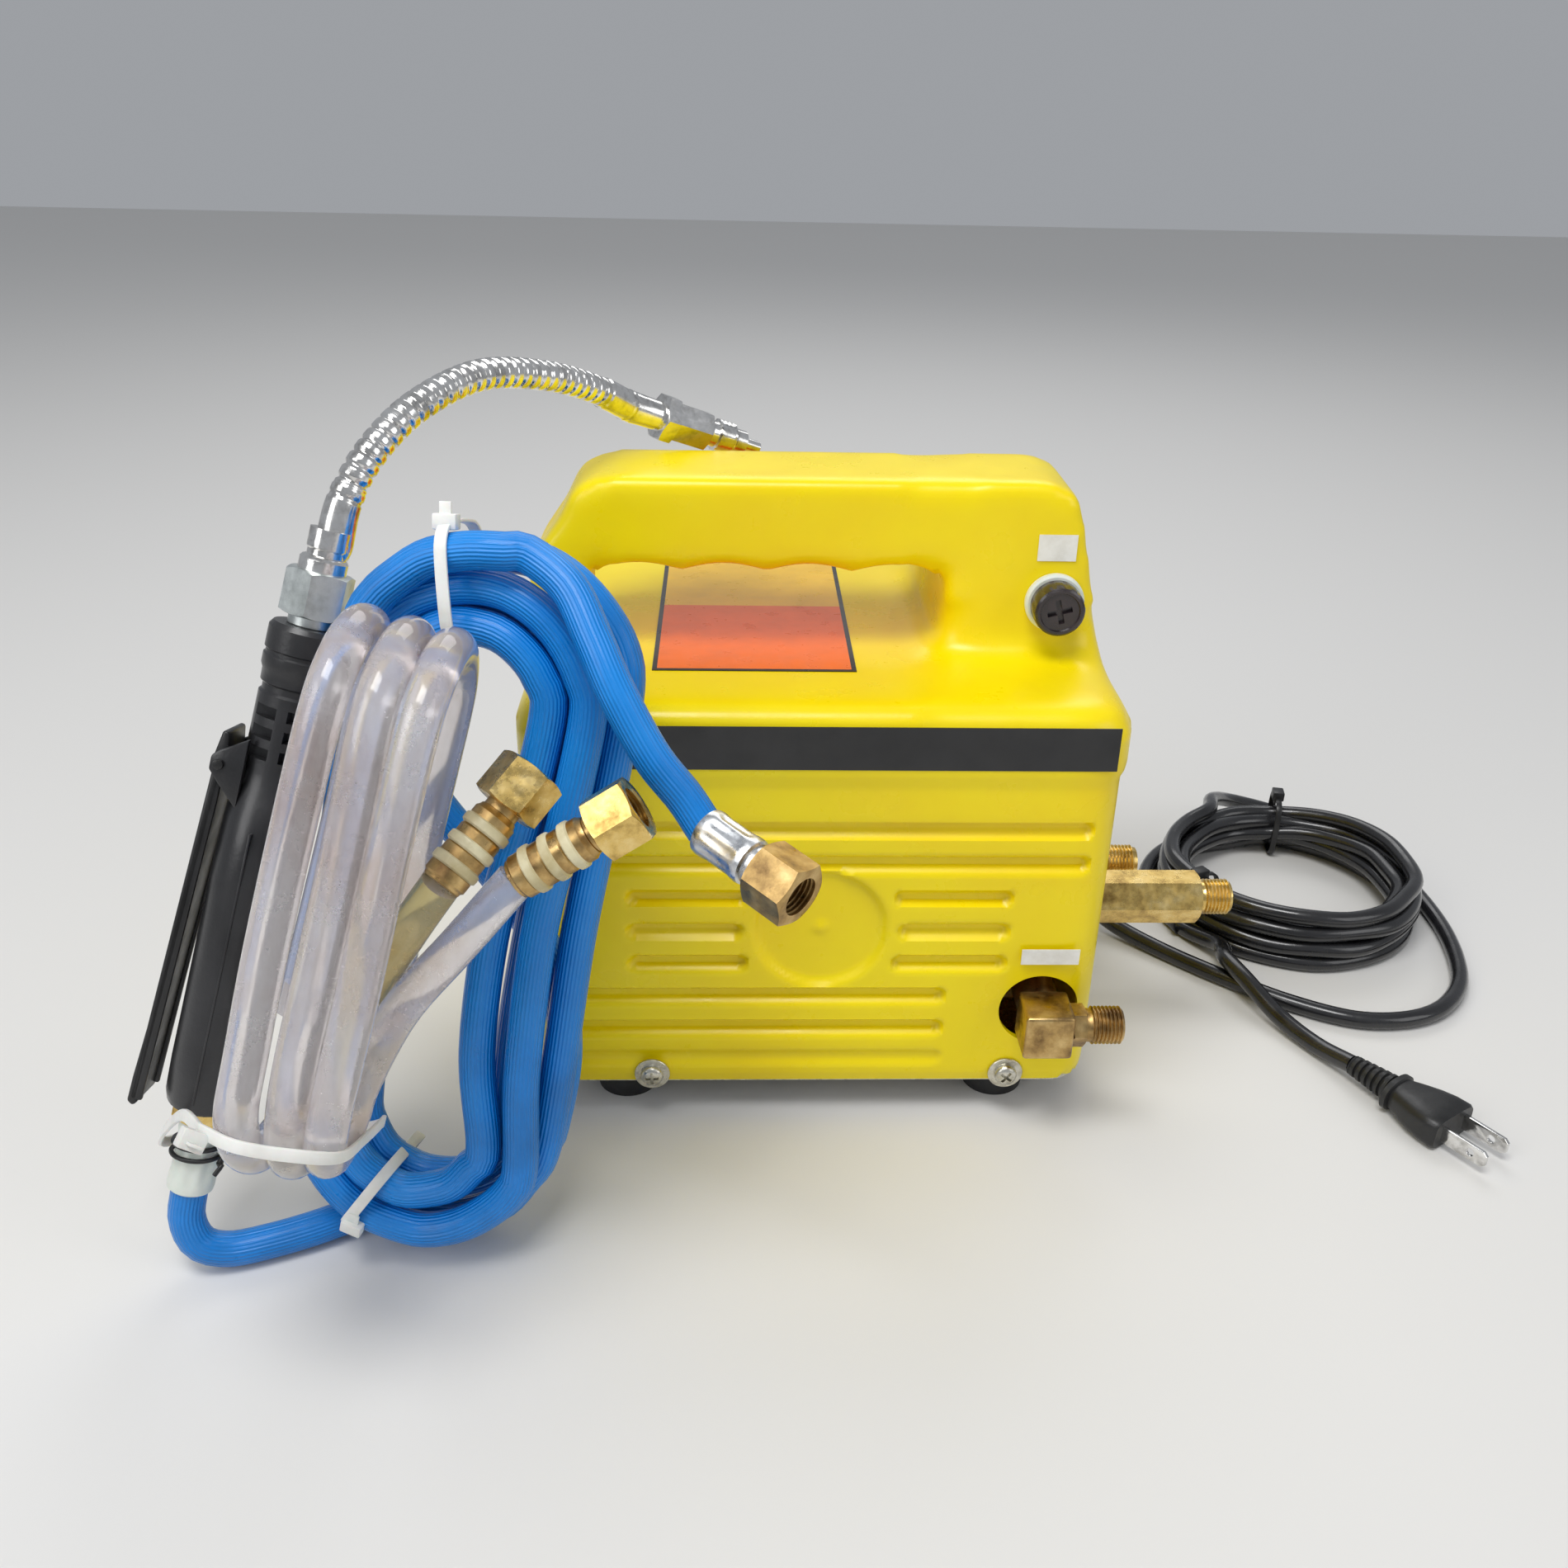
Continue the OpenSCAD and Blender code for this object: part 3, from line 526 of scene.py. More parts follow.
def cut(obj, tool, how="DIFFERENCE"):
    apply(obj, "BOOLEAN", operation=how, object=tool, solver="EXACT")
    bpy.data.objects.remove(tool, do_unlink=True)
    return obj


def rounded(obj, width, segments=2, angle=30):
    return apply(obj, "BEVEL", width=width, segments=segments, limit_method="ANGLE",
                 angle_limit=math.radians(angle), use_clamp_overlap=True)


def joined(*objects):
    fresh()
    for obj in objects:
        obj.select_set(True)
    bpy.context.view_layer.objects.active = objects[0]
    bpy.ops.object.join()
    return bpy.context.object


def block(low, high):
    fresh()
    bpy.ops.mesh.primitive_cube_add(size=1)
    obj = bpy.context.object
    low, high = Vector(low), Vector(high)
    obj.data.transform(Matrix.Translation((low + high) / 2) @ Matrix.Diagonal((*(high - low), 1)))
    return obj


def rod(radius, start, end, sides=40):
    """A round bar from start to end."""
    fresh()
    start, end = Vector(start), Vector(end)
    bpy.ops.mesh.primitive_cylinder_add(vertices=sides, radius=radius, depth=(end - start).length)
    obj = bpy.context.object
    lay = (end - start).to_track_quat("Z", "Y").to_matrix().to_4x4()
    obj.data.transform(Matrix.Translation((start + end) / 2) @ lay)
    return obj


def plate(outline, low, high, lay):
    """An outline drawn in XY, extruded from low to high along Z, then laid over by lay."""
    fresh()
    bm = bmesh.new()
    bm.faces.new([bm.verts.new((x, y, low)) for x, y in outline])
    obj = as_object(bm, "plate")
    only(obj)
    bpy.ops.object.mode_set(mode="EDIT")
    bpy.ops.mesh.select_all(action="SELECT")
    bpy.ops.mesh.extrude_region_move(TRANSFORM_OT_translate={"value": (0, 0, high - low)})
    bpy.ops.mesh.select_all(action="SELECT")
    bpy.ops.mesh.normals_make_consistent(inside=False)
    bpy.ops.object.mode_set(mode="OBJECT")
    obj.data.transform(lay)
    return obj


def lofted(rings, name="loft"):
    """A closed skin over rings of equal numbers of points."""
    bm = bmesh.new()
    loops = [[bm.verts.new(p) for p in ring] for ring in rings]
    count = len(loops[0])
    for a, b in zip(loops, loops[1:]):
        for i in range(count):
            bm.faces.new((a[i], a[(i + 1) % count], b[(i + 1) % count], b[i]))
    bm.faces.new(loops[0])
    bm.faces.new(loops[-1])
    bmesh.ops.recalc_face_normals(bm, faces=bm.faces)
    return as_object(bm, name)


def ring_of(z, count, radius):
    """A ring at height z; radius is a rule of a point's number and its angle."""
    ring = []
    for i in range(count):
        a = 2 * math.pi * i / count
        r = radius(i, a)
        ring.append((r * math.cos(a), r * math.sin(a), z))
    return ring


def oval(z, half_x, half_y, centre=(0, 0), power=2.0, sides=40):
    ring = []
    for i in range(sides):
        a = 2 * math.pi * i / sides
        c, s = math.cos(a), math.sin(a)
        ring.append((
            centre[0] + half_x * math.copysign(abs(c) ** (2 / power), c),
            centre[1] + half_y * math.copysign(abs(s) ** (2 / power), s),
            z,
        ))
    return ring


# ---------------------------------------------------------------- lines and tubes
def smooth_line(points, per=8):
    points = [Vector(p) for p in points]
    points = [2 * points[0] - points[1]] + points + [2 * points[-1] - points[-2]]
    line = []
    for a, b, c, d in zip(points, points[1:], points[2:], points[3:]):
        for k in range(per):
            t = k / per
            square, cube = 2 * a - 5 * b + 4 * c - d, 3 * b - a - 3 * c + d
            line.append(0.5 * (2 * b + (c - a) * t + square * t * t + cube * t**3))
    line.append(points[-2])
    return line


def even_line(line, step):
    """The same line with its points a step apart, and its length."""
    run = [0.0]
    for a, b in zip(line, line[1:]):
        run.append(run[-1] + (b - a).length)
    count = max(2, round(run[-1] / step))
    out, k = [], 0
    for i in range(count + 1):
        s = run[-1] * i / count
        while k < len(run) - 2 and run[k + 1] < s:
            k += 1
        span = run[k + 1] - run[k] or 1
        out.append(line[k].lerp(line[k + 1], (s - run[k]) / span))
    return out, run[-1]


def tube(name, line, radius, step, sides, bores=(None, None)):
    """A round tube along a line, with its own map: once round it in X, metres along it in Y.
    radius is a number or a rule of the distance along and the length. A bored end shows its hole."""
    line, total = even_line(line, step)
    last = len(line) - 1
    bm = bmesh.new()
    layer = bm.loops.layers.uv.new("along")
    side = Vector((0.3, 0.5, 0.8))
    rings = []
    for i, point in enumerate(line):
        way = (line[min(i + 1, last)] - line[max(i - 1, 0)]).normalized()
        side = (side - way * side.dot(way)).normalized()
        up = way.cross(side)
        s = total * i / last
        r = radius(s, total) if callable(radius) else radius
        rings.append((point, side.copy(), up, r, s))

    def hollow(end, way, bore):
        point, across, up, r, s = end
        return [(point, across, up, r * bore, s), (point - way * BORE_DEEP, across, up, r * bore, s)]

    if bores[0]:
        inner = hollow(rings[0], (line[0] - line[1]).normalized(), bores[0])
        rings = inner[::-1] + rings
    if bores[1]:
        rings += hollow(rings[-1], (line[-1] - line[-2]).normalized(), bores[1])
    loops = []
    for point, across, up, r, s in rings:
        angles = [2 * math.pi * k / sides for k in range(sides)]
        loops.append([bm.verts.new((point + (across * math.cos(a) + up * math.sin(a)) * r) * MM) for a in angles])
    for j in range(len(loops) - 1):
        for k in range(sides):
            n = (k + 1) % sides
            face = bm.faces.new((loops[j][k], loops[j][n], loops[j + 1][n], loops[j + 1][k]))
            for loop, (u, v) in zip(face.loops, ((k, j), (k + 1, j), (k + 1, j + 1), (k, j + 1))):
                loop[layer].uv = (u / sides, rings[v][4] * MM)
    bm.faces.new(loops[0])
    bm.faces.new(loops[-1])
    bmesh.ops.recalc_face_normals(bm, faces=bm.faces)
    return as_object(bm, name), line, total


def strap(name, loop, across, width, thick):
    """A flat band along a closed loop of points; across is the way its width lies."""
    line, _ = even_line(smooth_line(list(loop) + [loop[0]], 6), 2.0)
    line = line[:-1]
    count = len(line)
    across = Vector(across).normalized()
    middle = sum(line, Vector()) / count
    bm = bmesh.new()
    rings = []
    for i, point in enumerate(line):
        way = (line[(i + 1) % count] - line[i - 1]).normalized()
        out = across.cross(way).normalized()
        if out.dot(point - middle) < 0:
            out = -out
        rings.append([
            bm.verts.new(point + across * a * width / 2 + out * b * thick / 2)
            for a, b in ((-1, -1), (1, -1), (1, 1), (-1, 1))
        ])
    for i in range(count):
        a, b = rings[i], rings[(i + 1) % count]
        for k in range(4):
            bm.faces.new((a[k], a[(k + 1) % 4], b[(k + 1) % 4], b[k]))
    bmesh.ops.recalc_face_normals(bm, faces=bm.faces)
    return rounded(as_object(bm, name), 0.3, 2)


# ---------------------------------------------------------------- cords and hoses
def arc(x, z, radius, depth, start, end, count):
    """Points on an arc in the hank's own plane; depth runs from its first to its last value."""
    first, last = depth if hasattr(depth, "__len__") else (depth, depth)
    points = []
    for i in range(count + 1):
        t = i / count
        a = math.radians(start + (end - start) * t)
        points.append((x + radius * math.cos(a), first + (last - first) * t, z + radius * math.sin(a)))
    return points


def pressure_hose_points():
    """Up the right limb and across the back once, then four turns over the top to the right, and out at the top."""
    hank = arc(0, -70, 34.5, 13.5, -95, 0, 7)
    hank += [(34, 14.5, -45), (26, 14.5, -18), (6, 14.5, 6), (-18, 14.5, 26), (-32, 13, 44), (-35, 8, 60)]
    hank += arc(2, 70, 35.5, 3.5, 172, 8, 9) + [(37, 3.5, 50), (36, 3.5, 0), (35.5, 3.5, -50)]
    hank += arc(0, -70, 35, 3.5, -8, -172, 9)
    hank += [(-35, 3.5, -45), (-33.5, 3.5, -12), (-26, 3.5, 14), (-23.5, 3.5, 45)]
    hank += arc(1, 66, 23.5, 3.5, 172, 8, 8) + [(23.5, 3.5, 40), (20.5, 3.5, 0), (20.5, 3.5, -40)]
    hank += arc(0, -68, 23.5, 3.5, -8, -172, 8)
    hank += [(-23.5, 1, -45), (-25, -6, -22), (-27.5, -7.5, 10), (-29, -7.5, 40)]
    hank += arc(-5, 62, 23.5, -7.5, 172, 8, 8) + [(16.5, -7.5, 36), (12.5, -7.5, 0), (13.5, -7.5, -42)]
    hank += arc(-4, -69, 23.5, -7.5, -8, -165, 8)
    hank += [(-31, -7.5, -58), (-37.5, -7.5, -38), (-38.5, -7.5, 0), (-38.5, -7.5, 40)]
    hank += arc(-4, 62, 34.5, -7.5, 172, 8, 9) + [(29, -8, 36), (26.5, -8, 0), (28, -8, -45)]
    hank += arc(-2, -70, 34.5, -8, -8, -165, 9) + [(-34, -11, -48), (-31, -15, -20), (-31.5, -15, 20), (-34, -15, 48)]
    hank += arc(0, 71, 37, -15, 168, 88, 5)
    points = [BUNDLE @ Vector(p) for p in PRESSURE_START[:-1]]
    for p in hank:
        loose = Vector((random.uniform(-0.6, 0.6), 0, random.uniform(-0.6, 0.6)))
        points.append(HANK @ (Vector(p) + loose))
    return points + [BUNDLE @ Vector(p) for p in PRESSURE_END]


def oval_turn(across, first, last, climb=0.0):
    """Points round the clear hank from one angle to another; 0 is its back, 90 its top, -180 its front."""
    points = []
    count = max(2, round(abs(last - first) / 30))
    for i in range(count + 1):
        t = i / count
        a = math.radians(first + (last - first) * t)
        points.append((across + climb * t, 24.5 * math.cos(a), 24.5 * math.sin(a) + math.copysign(48, math.sin(a))))
    return points


def suction_hose_points():
    local = [(-12, 24.5, -44), (-11.5, 25, -10), (-11, 25, 25)] + oval_turn(-11.5, 12, 168)
    local += [(-12, -24.5, 25), (-12, -25, -10), (-11.5, -24.5, -36)] + oval_turn(-11, -168, -12, 9)
    local += [(-1, 24.5, -20), (0, 25, 10), (0, 24.5, 36)] + oval_turn(0.5, 12, 168)
    local += [(1, -25, 25), (1, -25, -10), (1, -24.5, -40), (2, -20, -60), (3, -8, -70), (5, 5, -69), (8, 13, -60)]
    points = [CLEAR @ Vector(p) for p in local]
    return points + [BUNDLE @ Vector(p) for p in SUCTION_END[1:]]


def bypass_hose_points():
    local = [(13, 24.5, -44), (12, 25, -10), (11.5, 24.5, 22)] + oval_turn(11.5, 12, 168)
    local += [(11.5, -24.5, 22), (12, -25, -10), (12, -24.8, -32), (12, -24.5, -47),
              (12.3, -22.4, -57.5), (12.7, -16.5, -63), (13.2, -9.8, -62.2), (13.8, -4.9, -56.5)]
    points = [CLEAR @ Vector(p) for p in local]
    return points + [BUNDLE @ Vector(p) for p in BYPASS_END[1:]]


def lead_points():
    """Along the floor to the coil, seven layers of turns in it, and out to the plug."""
    slots = [(52, 24.5), (53.5, 17.5), (46.5, 17.5), (46.5, 10.5), (53.5, 10.5), (53.5, 3.6), (60.5, 3.6)]
    start, end = 117.6, 226.3 + 6 * 360
    points = [Vector(p) for p in LEAD[:-1]]
    count = round((end - start) / 20)
    for i in range(count):
        angle = start + (end - start) * i / count
        turns = (angle - start) / 360
        k = min(int(turns), 6)
        shift = max(0.0, (turns - k - 0.72) / 0.28)
        after = slots[min(k + 1, 6)]
        shift = shift * shift * (3 - 2 * shift)
        r = slots[k][0] + (after[0] - slots[k][0]) * shift + random.uniform(-1.1, 1.1)
        z = slots[k][1] + (after[1] - slots[k][1]) * shift
        z += random.uniform(-0.5, 0.7) if slots[k][1] > 4 else 0.1
        a = math.radians(angle)
        points.append(COIL_AT + Vector((r * math.cos(a), r * math.sin(a), z)))
    return points + [Vector((x, y, z + rise)) for (x, y, z), rise in zip(TAIL, TAIL_RISE)]


def lay_cord(name, points, diameter, step, sides, finish, nodes, bores=(None, None), radius=None):
    obj, line, length = tube(name, smooth_line(points), radius or diameter / 2, step, sides, bores)
    obj.data.materials.append(finish)
    settle(obj, "unit", 60)
    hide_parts(*nodes)
    return obj, [p * MM for p in line], length * MM


# ---------------------------------------------------------------- brass and plated fittings
def thread(radius, low, high, pitch=1.34):
    """Stations of a thread's crests and roots."""
    stations, z = [(radius - 0.8, low)], low
    while z + pitch <= high:
        stations += [(radius - 0.75, z + 0.08), (radius, z + pitch * 0.42), (radius, z + pitch * 0.58),
                     (radius - 0.75, z + pitch * 0.92)]
        z += pitch
    return stations + [(radius - 1.0, high)]


ALONG_X = turn(0, 90, 0)


def nipple(name, where, across, hex_length, neck, thread_end, node, finish):
    hex_part = hexagon(across, 0, hex_length)
    stem = turned_stock([(4.0, 0.3), (5.8, 0.4), (5.8, neck)] + thread(PORT_THREAD, neck, thread_end), 48)
    piece = cut(joined_solid(hex_part, stem), rod(3.1, (0, 0, hex_length), (0, 0, thread_end + 2)))
    return place(piece, name, where @ ALONG_X, finish, "brass", stands_for=[node])


def joined_solid(a, b):
    return cut(a, b, "UNION")


def make_brass():
    # Forged elbow: a block with softened edges, a boss where it leaves the case and a bore out to its outlet
    elbow = rounded(block((69.5, -101, 37.5), (86.5, -84, 54.5)), 1.3, 3)
    boss = rod(7.6, (78, -88, 46), (78, -62, 46))
    elbow = joined_solid(elbow, boss)
    elbow = cut(elbow, rod(3, (78, -92.5, 46), (90, -92.5, 46)))
    place(elbow, "forged_elbow", Matrix(), old_brass(), "brass", stands_for=["outlet_elbow"], sharp=40)
    worn = old_brass()
    shine = brass()
    nipple("outlet_thread", at(86.5, -92.5, 46), 13, 5, 7, 18, "outlet_nipple", worn)
    nipple("suction_adaptor", at(84, -40, 66), 17, 59, 61, 71, "inlet_adaptor", shine)
    nipple("bypass_thread", at(84, -14, 66), 14, 20, 30, 42, "bypass_nipple", shine)
    # Hose tails with their swivel nuts
    pale = plastic("tail_clips", (0.50, 0.42, 0.22), (0.80, 0.74, 0.50), (0.25, 0.4))
    for name, where, node in (("suction_tail", SUCTION, "suction_fitting"), ("bypass_tail", BYPASS, "bypass_fitting")):
        stations = [(5.2, 0), (5.6, 0.3)]
        for z in (1, 7, 13, 19):
            stations += [(5.7, z), (6.3, z + 0.6), (6.3, z + 3.4), (5.7, z + 4.2)]
        tail = turned_stock(stations + [(5.4, 24), (5.0, 24.2), (5.0, 27)], 40)
        tail = place(tail, name, where, old_brass(), "brass")
        nut = swivel_nut(26, 39, 29)
        place(nut, name + "_nut", where, shine, "brass", stands_for=[node])
        for i, z in enumerate((4.6, 10.8, 17)):
            clip = turned_stock([(6.2, z), (6.9, z + 0.5), (7.0, z + 1.6), (6.9, z + 2.7), (6.2, z + 3.2)], 40)
            place(clip, f"{name}_clip_{i + 1}", where, pale, "brass")
    # Free end of the pressure hose: fluted crimp and swivel nut
    ferrule = fluted(7.0, 0, 18, 10)
    neck = turned_stock([(5.4, 17), (5.5, 18.5), (5.5, 20.5), (6.4, 21.5)], 40)
    place(joined(ferrule, neck), "end_crimp", END_NUT, crimp_steel(), "crimp_steel")
    place(swivel_nut(21, 35, 24), "end_swivel", END_NUT, old_brass(), "brass", stands_for=["end_nut"])


def swivel_nut(low, high, bore_from):
    nut = hexagon(NUT_ACROSS, low, high)
    inside = thread(PORT_THREAD, bore_from, high + 1)
    return cut(nut, turned_stock(inside, 48))


def fluted(radius, low, high, flutes):
    """A crimped sleeve: round lips and long pressed flats between them."""
    levels = [(0.0, 0.86, 0), (0.03, 0.97, 0), (0.1, 1.0, 0), (0.17, 1.0, 0.2), (0.26, 0.97, 1),
              (0.74, 0.97, 1), (0.83, 1.0, 0.2), (0.9, 1.0, 0), (0.97, 0.97, 0), (1.0, 0.86, 0)]
    return lofted([
        ring_of(
            low + (high - low) * t, flutes * 8,
            lambda i, a, k=k, press=press: radius * k - 0.55 * press * (0.5 + 0.5 * math.cos(a * flutes)),
        )
        for t, k, press in levels
    ])


# ---------------------------------------------------------------- the gun and its neck
def make_gun():
    body = gun_plastic()
    rings = [oval(0, 11.2, 15.6, (0, 1)), oval(0.8, 12.0, 16.8, (0, 1)), oval(3, 12.5, 17.5, (0, 1))]
    rings += [oval(z, 12.5 - 0.25 * math.sin((z - 3) / 76 * math.pi), 17.5, (0, 1), 2.25) for z in (14, 28, 44, 60, 72)]
    rings += [oval(82, 12.4, 16.9, (0, 0.9)), oval(90, 12.2, 15.2, (0, 0.6)), oval(96, 11.4, 12.8, (0, 0.3)),
              oval(100, 10.5, 10.8), oval(104, 10.2, 10.3)]
    collar = ((126.5, 10.2), (127.2, 9.5), (129, 9.5), (129.7, 10.3), (133, 10.4), (134.4, 11), (137.4, 11),
              (137.9, 10.5), (138.8, 10.5), (139.3, 11), (145.6, 11), (147, 10))
    rings += [oval(z, r, r) for z, r in collar]
    grip = lofted(rings)
    slots = []
    for z in (108, 114, 120):
        for s in (-1, 1):
            slots.append(block((s * 5.2 - 3.6, -12, z), (s * 5.2 + 3.6, -6.2, z + 3.4)))
            slots.append(block((s * 5.2 - 3.6, 6.2, z), (s * 5.2 + 3.6, 12, z + 3.4)))
    grip = cut(grip, joined(*slots))
    ear = [(-16.6, 102), (-16.6, 106), (-14.6, 108), (-7, 113), (-7, 92), (-14, 99)]
    ear = [(x, -z) for x, z in ear]
    ears = joined(*(rounded(plate(ear, y, y + 2.6, turn(-90, 0, 0)), 0.7, 2) for y in (-10.8, 8.2)))
    seam = rounded(block((-0.35, -16.75, 4), (0.35, -12, 88)), 0.2)
    place(joined(grip, ears, seam), "gun_grip", GUN, body, "black_plastic", stands_for=["gun_body"], sharp=35)
    # Trigger lever: a long channel with a turned-out foot, riding on its own pin
    outline = [(-7.4, -108), (-5.6, -109.2), (-4.4, -108), (0.6, -4), (2.4, -1.2), (2.4, 1.2), (1, 3.6), (0.2, 9),
               (-1.6, 9), (-2.8, 2), (-2.6, -4), (-5.9, -84), (-7.1, -100)]
    stand = at(-14, 0, 104) @ turn(90, 0, 0)
    lever = rounded(plate(outline, -7.5, 7.5, stand), 0.8, 3)
    side = [(-6.8, -107), (-3.2, -107), (0.7, -10), (0.6, -3), (-2.4, -4)]
    sides = [rounded(plate(side, y, y + 1.7, stand), 0.5, 2) for y in (-7.5, 5.8)]
    pin = rounded(rod(1.5, (-14, -11.8, 104), (-14, 11.8, 104), 24), 0.3, 2)
    place(joined(lever, *sides, pin), "gun_lever", GUN, black_plastic(), "black_plastic", body="lever",
          stands_for=["trigger_lever"])
    nut = joined_solid(hexagon(NUT_ACROSS, -7, -0.4),
                       turned_stock([(8.2, -1.2), (9.4, -0.9), (9.4, 0.3), (8, 0.5)], 40))
    place(nut, "gun_swivel", GUN, brass(), "brass", stands_for=["gun_inlet_nut"])
    ferrule = fluted(7.0, -31, -7, 9)
    place(ferrule, "gun_crimp", GUN, white_plastic(), "crimp_steel", stands_for=["hose_ferrule"])
    # Twisted black wire round the crimp
    coil = [(7.5 * math.cos(a / 4), 7.5 * math.sin(a / 4), -21 + 0.14 * a) for a in range(0, 52)]
    coil += [(8.2, -1, -13.6), (9.4, -4.5, -15), (8.2, -6.5, -18), (10, -8, -16.5), (8.6, -9.4, -20)]
    wire, _, _ = tube("wire_twist", [GUN @ p for p in smooth_line(coil, 2)], 0.75, 1.2, 8)
    wire.data.materials.append(black_plastic())
    settle(wire, "unit", 60)


def make_neck():
    shine = bright_plate()
    nut = hexagon(NUT_ACROSS, 150, 163)
    ring = turned_stock([(6.3, 147), (6.5, 147.3), (6.5, 150.4)], 40)
    place(joined(nut, ring), "neck_nut", GUN, nut_plate(), "bright_plate", stands_for=["gooseneck_nut"])
    collar = turned_stock([(6.2, 162.5), (6.8, 163), (6.8, 166.2), (6.2, 167), (5.2, 167.4), (5.2, 169),
                           (5.6, 169.6), (5.6, 175)], 40)
    place(collar, "neck_collar", GUN, shine, "bright_plate")

    def ribbed(s, total):
        if s < 21:
            return 5.5 - 0.45 * min(1, s / 17) - (0.35 if 17.4 < s < 18.6 else 0)
        if s > total - 15:
            return 5.2 + (0.25 if s > total - 3 else 0)
        t = ((s - 21) / 4.0) % 1
        return 4.78 - 0.9 * max(0.0, 1 - abs(t - 0.5) / 0.22)

    route = [GUN @ Vector((0, 0, 172))] + [Vector(p) for p in NECK]
    neck, _, _ = tube("ribbed_neck", smooth_line(route, 10), ribbed, 0.44, 40)
    neck.data.materials.append(shine)
    settle(neck, "unit", 60)
    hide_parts("gooseneck")
    sleeve = turned_stock([(5.0, -1), (5.6, 0), (5.4, 3), (5.1, 11), (5.3, 12)], 40)
    big = hexagon(15, 11.6, 17)
    small = hexagon(12.5, 17, 31)
    waist = turned_stock([(5.5, 30.6), (5.0, 31.4), (5.0, 32)], 32)
    place(joined(sleeve, big, small, waist), "nozzle_nuts", NOZZLE, shine, "bright_plate",
          stands_for=["nozzle_fitting"])
    rings = [oval(31, 4.4, 4.4, sides=56), oval(34.6, 4.6, 4.6, sides=56)]
    for j, z in enumerate((35, 35.9, 36.8, 37.7, 38.6, 39.5, 40.4, 41.3)):
        rings.append(ring_of(z, 56, lambda i, a, j=j: 5.55 + (0.17 if (i + 2 * j) % 4 < 2 else -0.17)))
    ends = ((41.9, 4.9), (42.4, 4.4), (46.6, 4.4), (47, 3.9), (47.4, 2.4), (53.4, 2.4), (54, 1.8))
    rings += [oval(z, r, r, sides=56) for z, r in ends]
    tip = cut(lofted(rings), rod(0.8, (0, 0, 46), (0, 0, 56), 20))
    place(tip, "knurled_tip", NOZZLE, shine, "bright_plate", stands_for=["nozzle_tip"], sharp=25)


# ---------------------------------------------------------------- fuse, plug, ties, screws
def make_fuse():
    seat = turned_stock([(9.2, 0), (10, 0.6), (10, 2.4), (9.3, 3), (6.4, 3.2), (6.2, 3.4), (6.2, 36)], 48)
    seat = cut(seat, turned_stock([(5.1, -1), (5.1, 40)], 40))
    away = at(78, -36, 180) @ turn(90, 0, 0)
    seat.data.transform(Matrix.Diagonal((1, 1, -1, 1)) @ at(0, 0, -3))
    seat.data.flip_normals()
    place(seat, "fuse_seat", away, white_plastic(), "white_plastic", stands_for=["fuse_holder"])
    rings = []
    for z, r in ((0, 7.7), (0.5, 8.5), (1.2, 8.6), (7.4, 8.6), (8.3, 8.3), (8.8, 7.6)):
        rings.append(ring_of(z, 72, lambda i, a, z=z, r=r: r - (0.3 if (i % 6 < 2 and 1 < z < 7.6) else 0)))
    knob = lofted(rings)
    dish = turned_stock([(6.4, 8.1), (6.9, 9.2)], 48)
    knob = cut(knob, dish)
    knob = cut(knob, block((-4.2, -0.95, 6.4), (4.2, 0.95, 9.4)))
    knob = cut(knob, block((-0.95, -4.2, 6.4), (0.95, 4.2, 9.4)))
    where = at(78, -39.2, 180) @ turn(90, 0, 0) @ turn(0, 0, 14)
    place(knob, "fuse_knob_cap", where, cap_plastic(), "black_plastic", body="fuse_knob", stands_for=["fuse_cap"])


def make_plug():
    """The plug lies along its own X: ribbed relief, oval flange, flared body and two flat blades."""
    soft = plastic("plug_vinyl", (0.008, 0.008, 0.008), (0.02, 0.02, 0.02), (0.3, 0.5), 900, 0.0001)
    stations = [(3.4, 0), (3.9, 0.3)]
    for i in range(6):
        z = 1 + i * 2.8
        swell = 4.1 + 0.26 * i
        stations += [(swell - 0.7, z), (swell, z + 0.35), (swell, z + 1.7), (swell - 0.7, z + 2.05)]
    relief = turned_stock(stations + [(5.2, 18.2)], 32)
    flange = [(17.6, 5.6, 8.0, 2.3), (18.1, 6.3, 8.8, 2.3), (20.0, 6.3, 8.8, 2.3), (20.6, 5.4, 7.6, 2.3)]
    body = [(20.2, 5.2, 7.2, 2.4), (22, 5.4, 7.8, 2.6), (26, 5.8, 9.2, 3), (31, 6.2, 10.8, 3.4), (36, 6.4, 11.5, 4),
            (41.4, 6.4, 11.5, 4.4), (42.5, 5.8, 10.9, 4.4)]
    flange, body = (lofted([oval(z, x, y, power=p) for z, x, y, p in part]) for part in (flange, body))
    lay = PLUG @ turn(0, 90, 0)
    plug = place(joined(relief, flange, body), "plug_body", lay, soft, "black_lead", stands_for=["plug"], sharp=40)
    blades = []
    for y in (-6.35, 6.35):
        outline = [(42, -3.1), (58, -3.1), (59.5, -1.8), (59.5, 1.8), (58, 3.1), (42, 3.1)]
        blade = plate(outline, -0.75, 0.75, turn(90, 0, 0))
        blade = cut(blade, rod(1.5, (53.5, -2, 0), (53.5, 2, 0), 24))
        blade = rounded(blade, 0.2, 2, 50)
        blade.data.transform(at(0, y, 0))
        blades.append(blade)
    pins = place(joined(*blades), "plug_blades", PLUG, bright_plate(), "bright_plate")
    return plug, pins


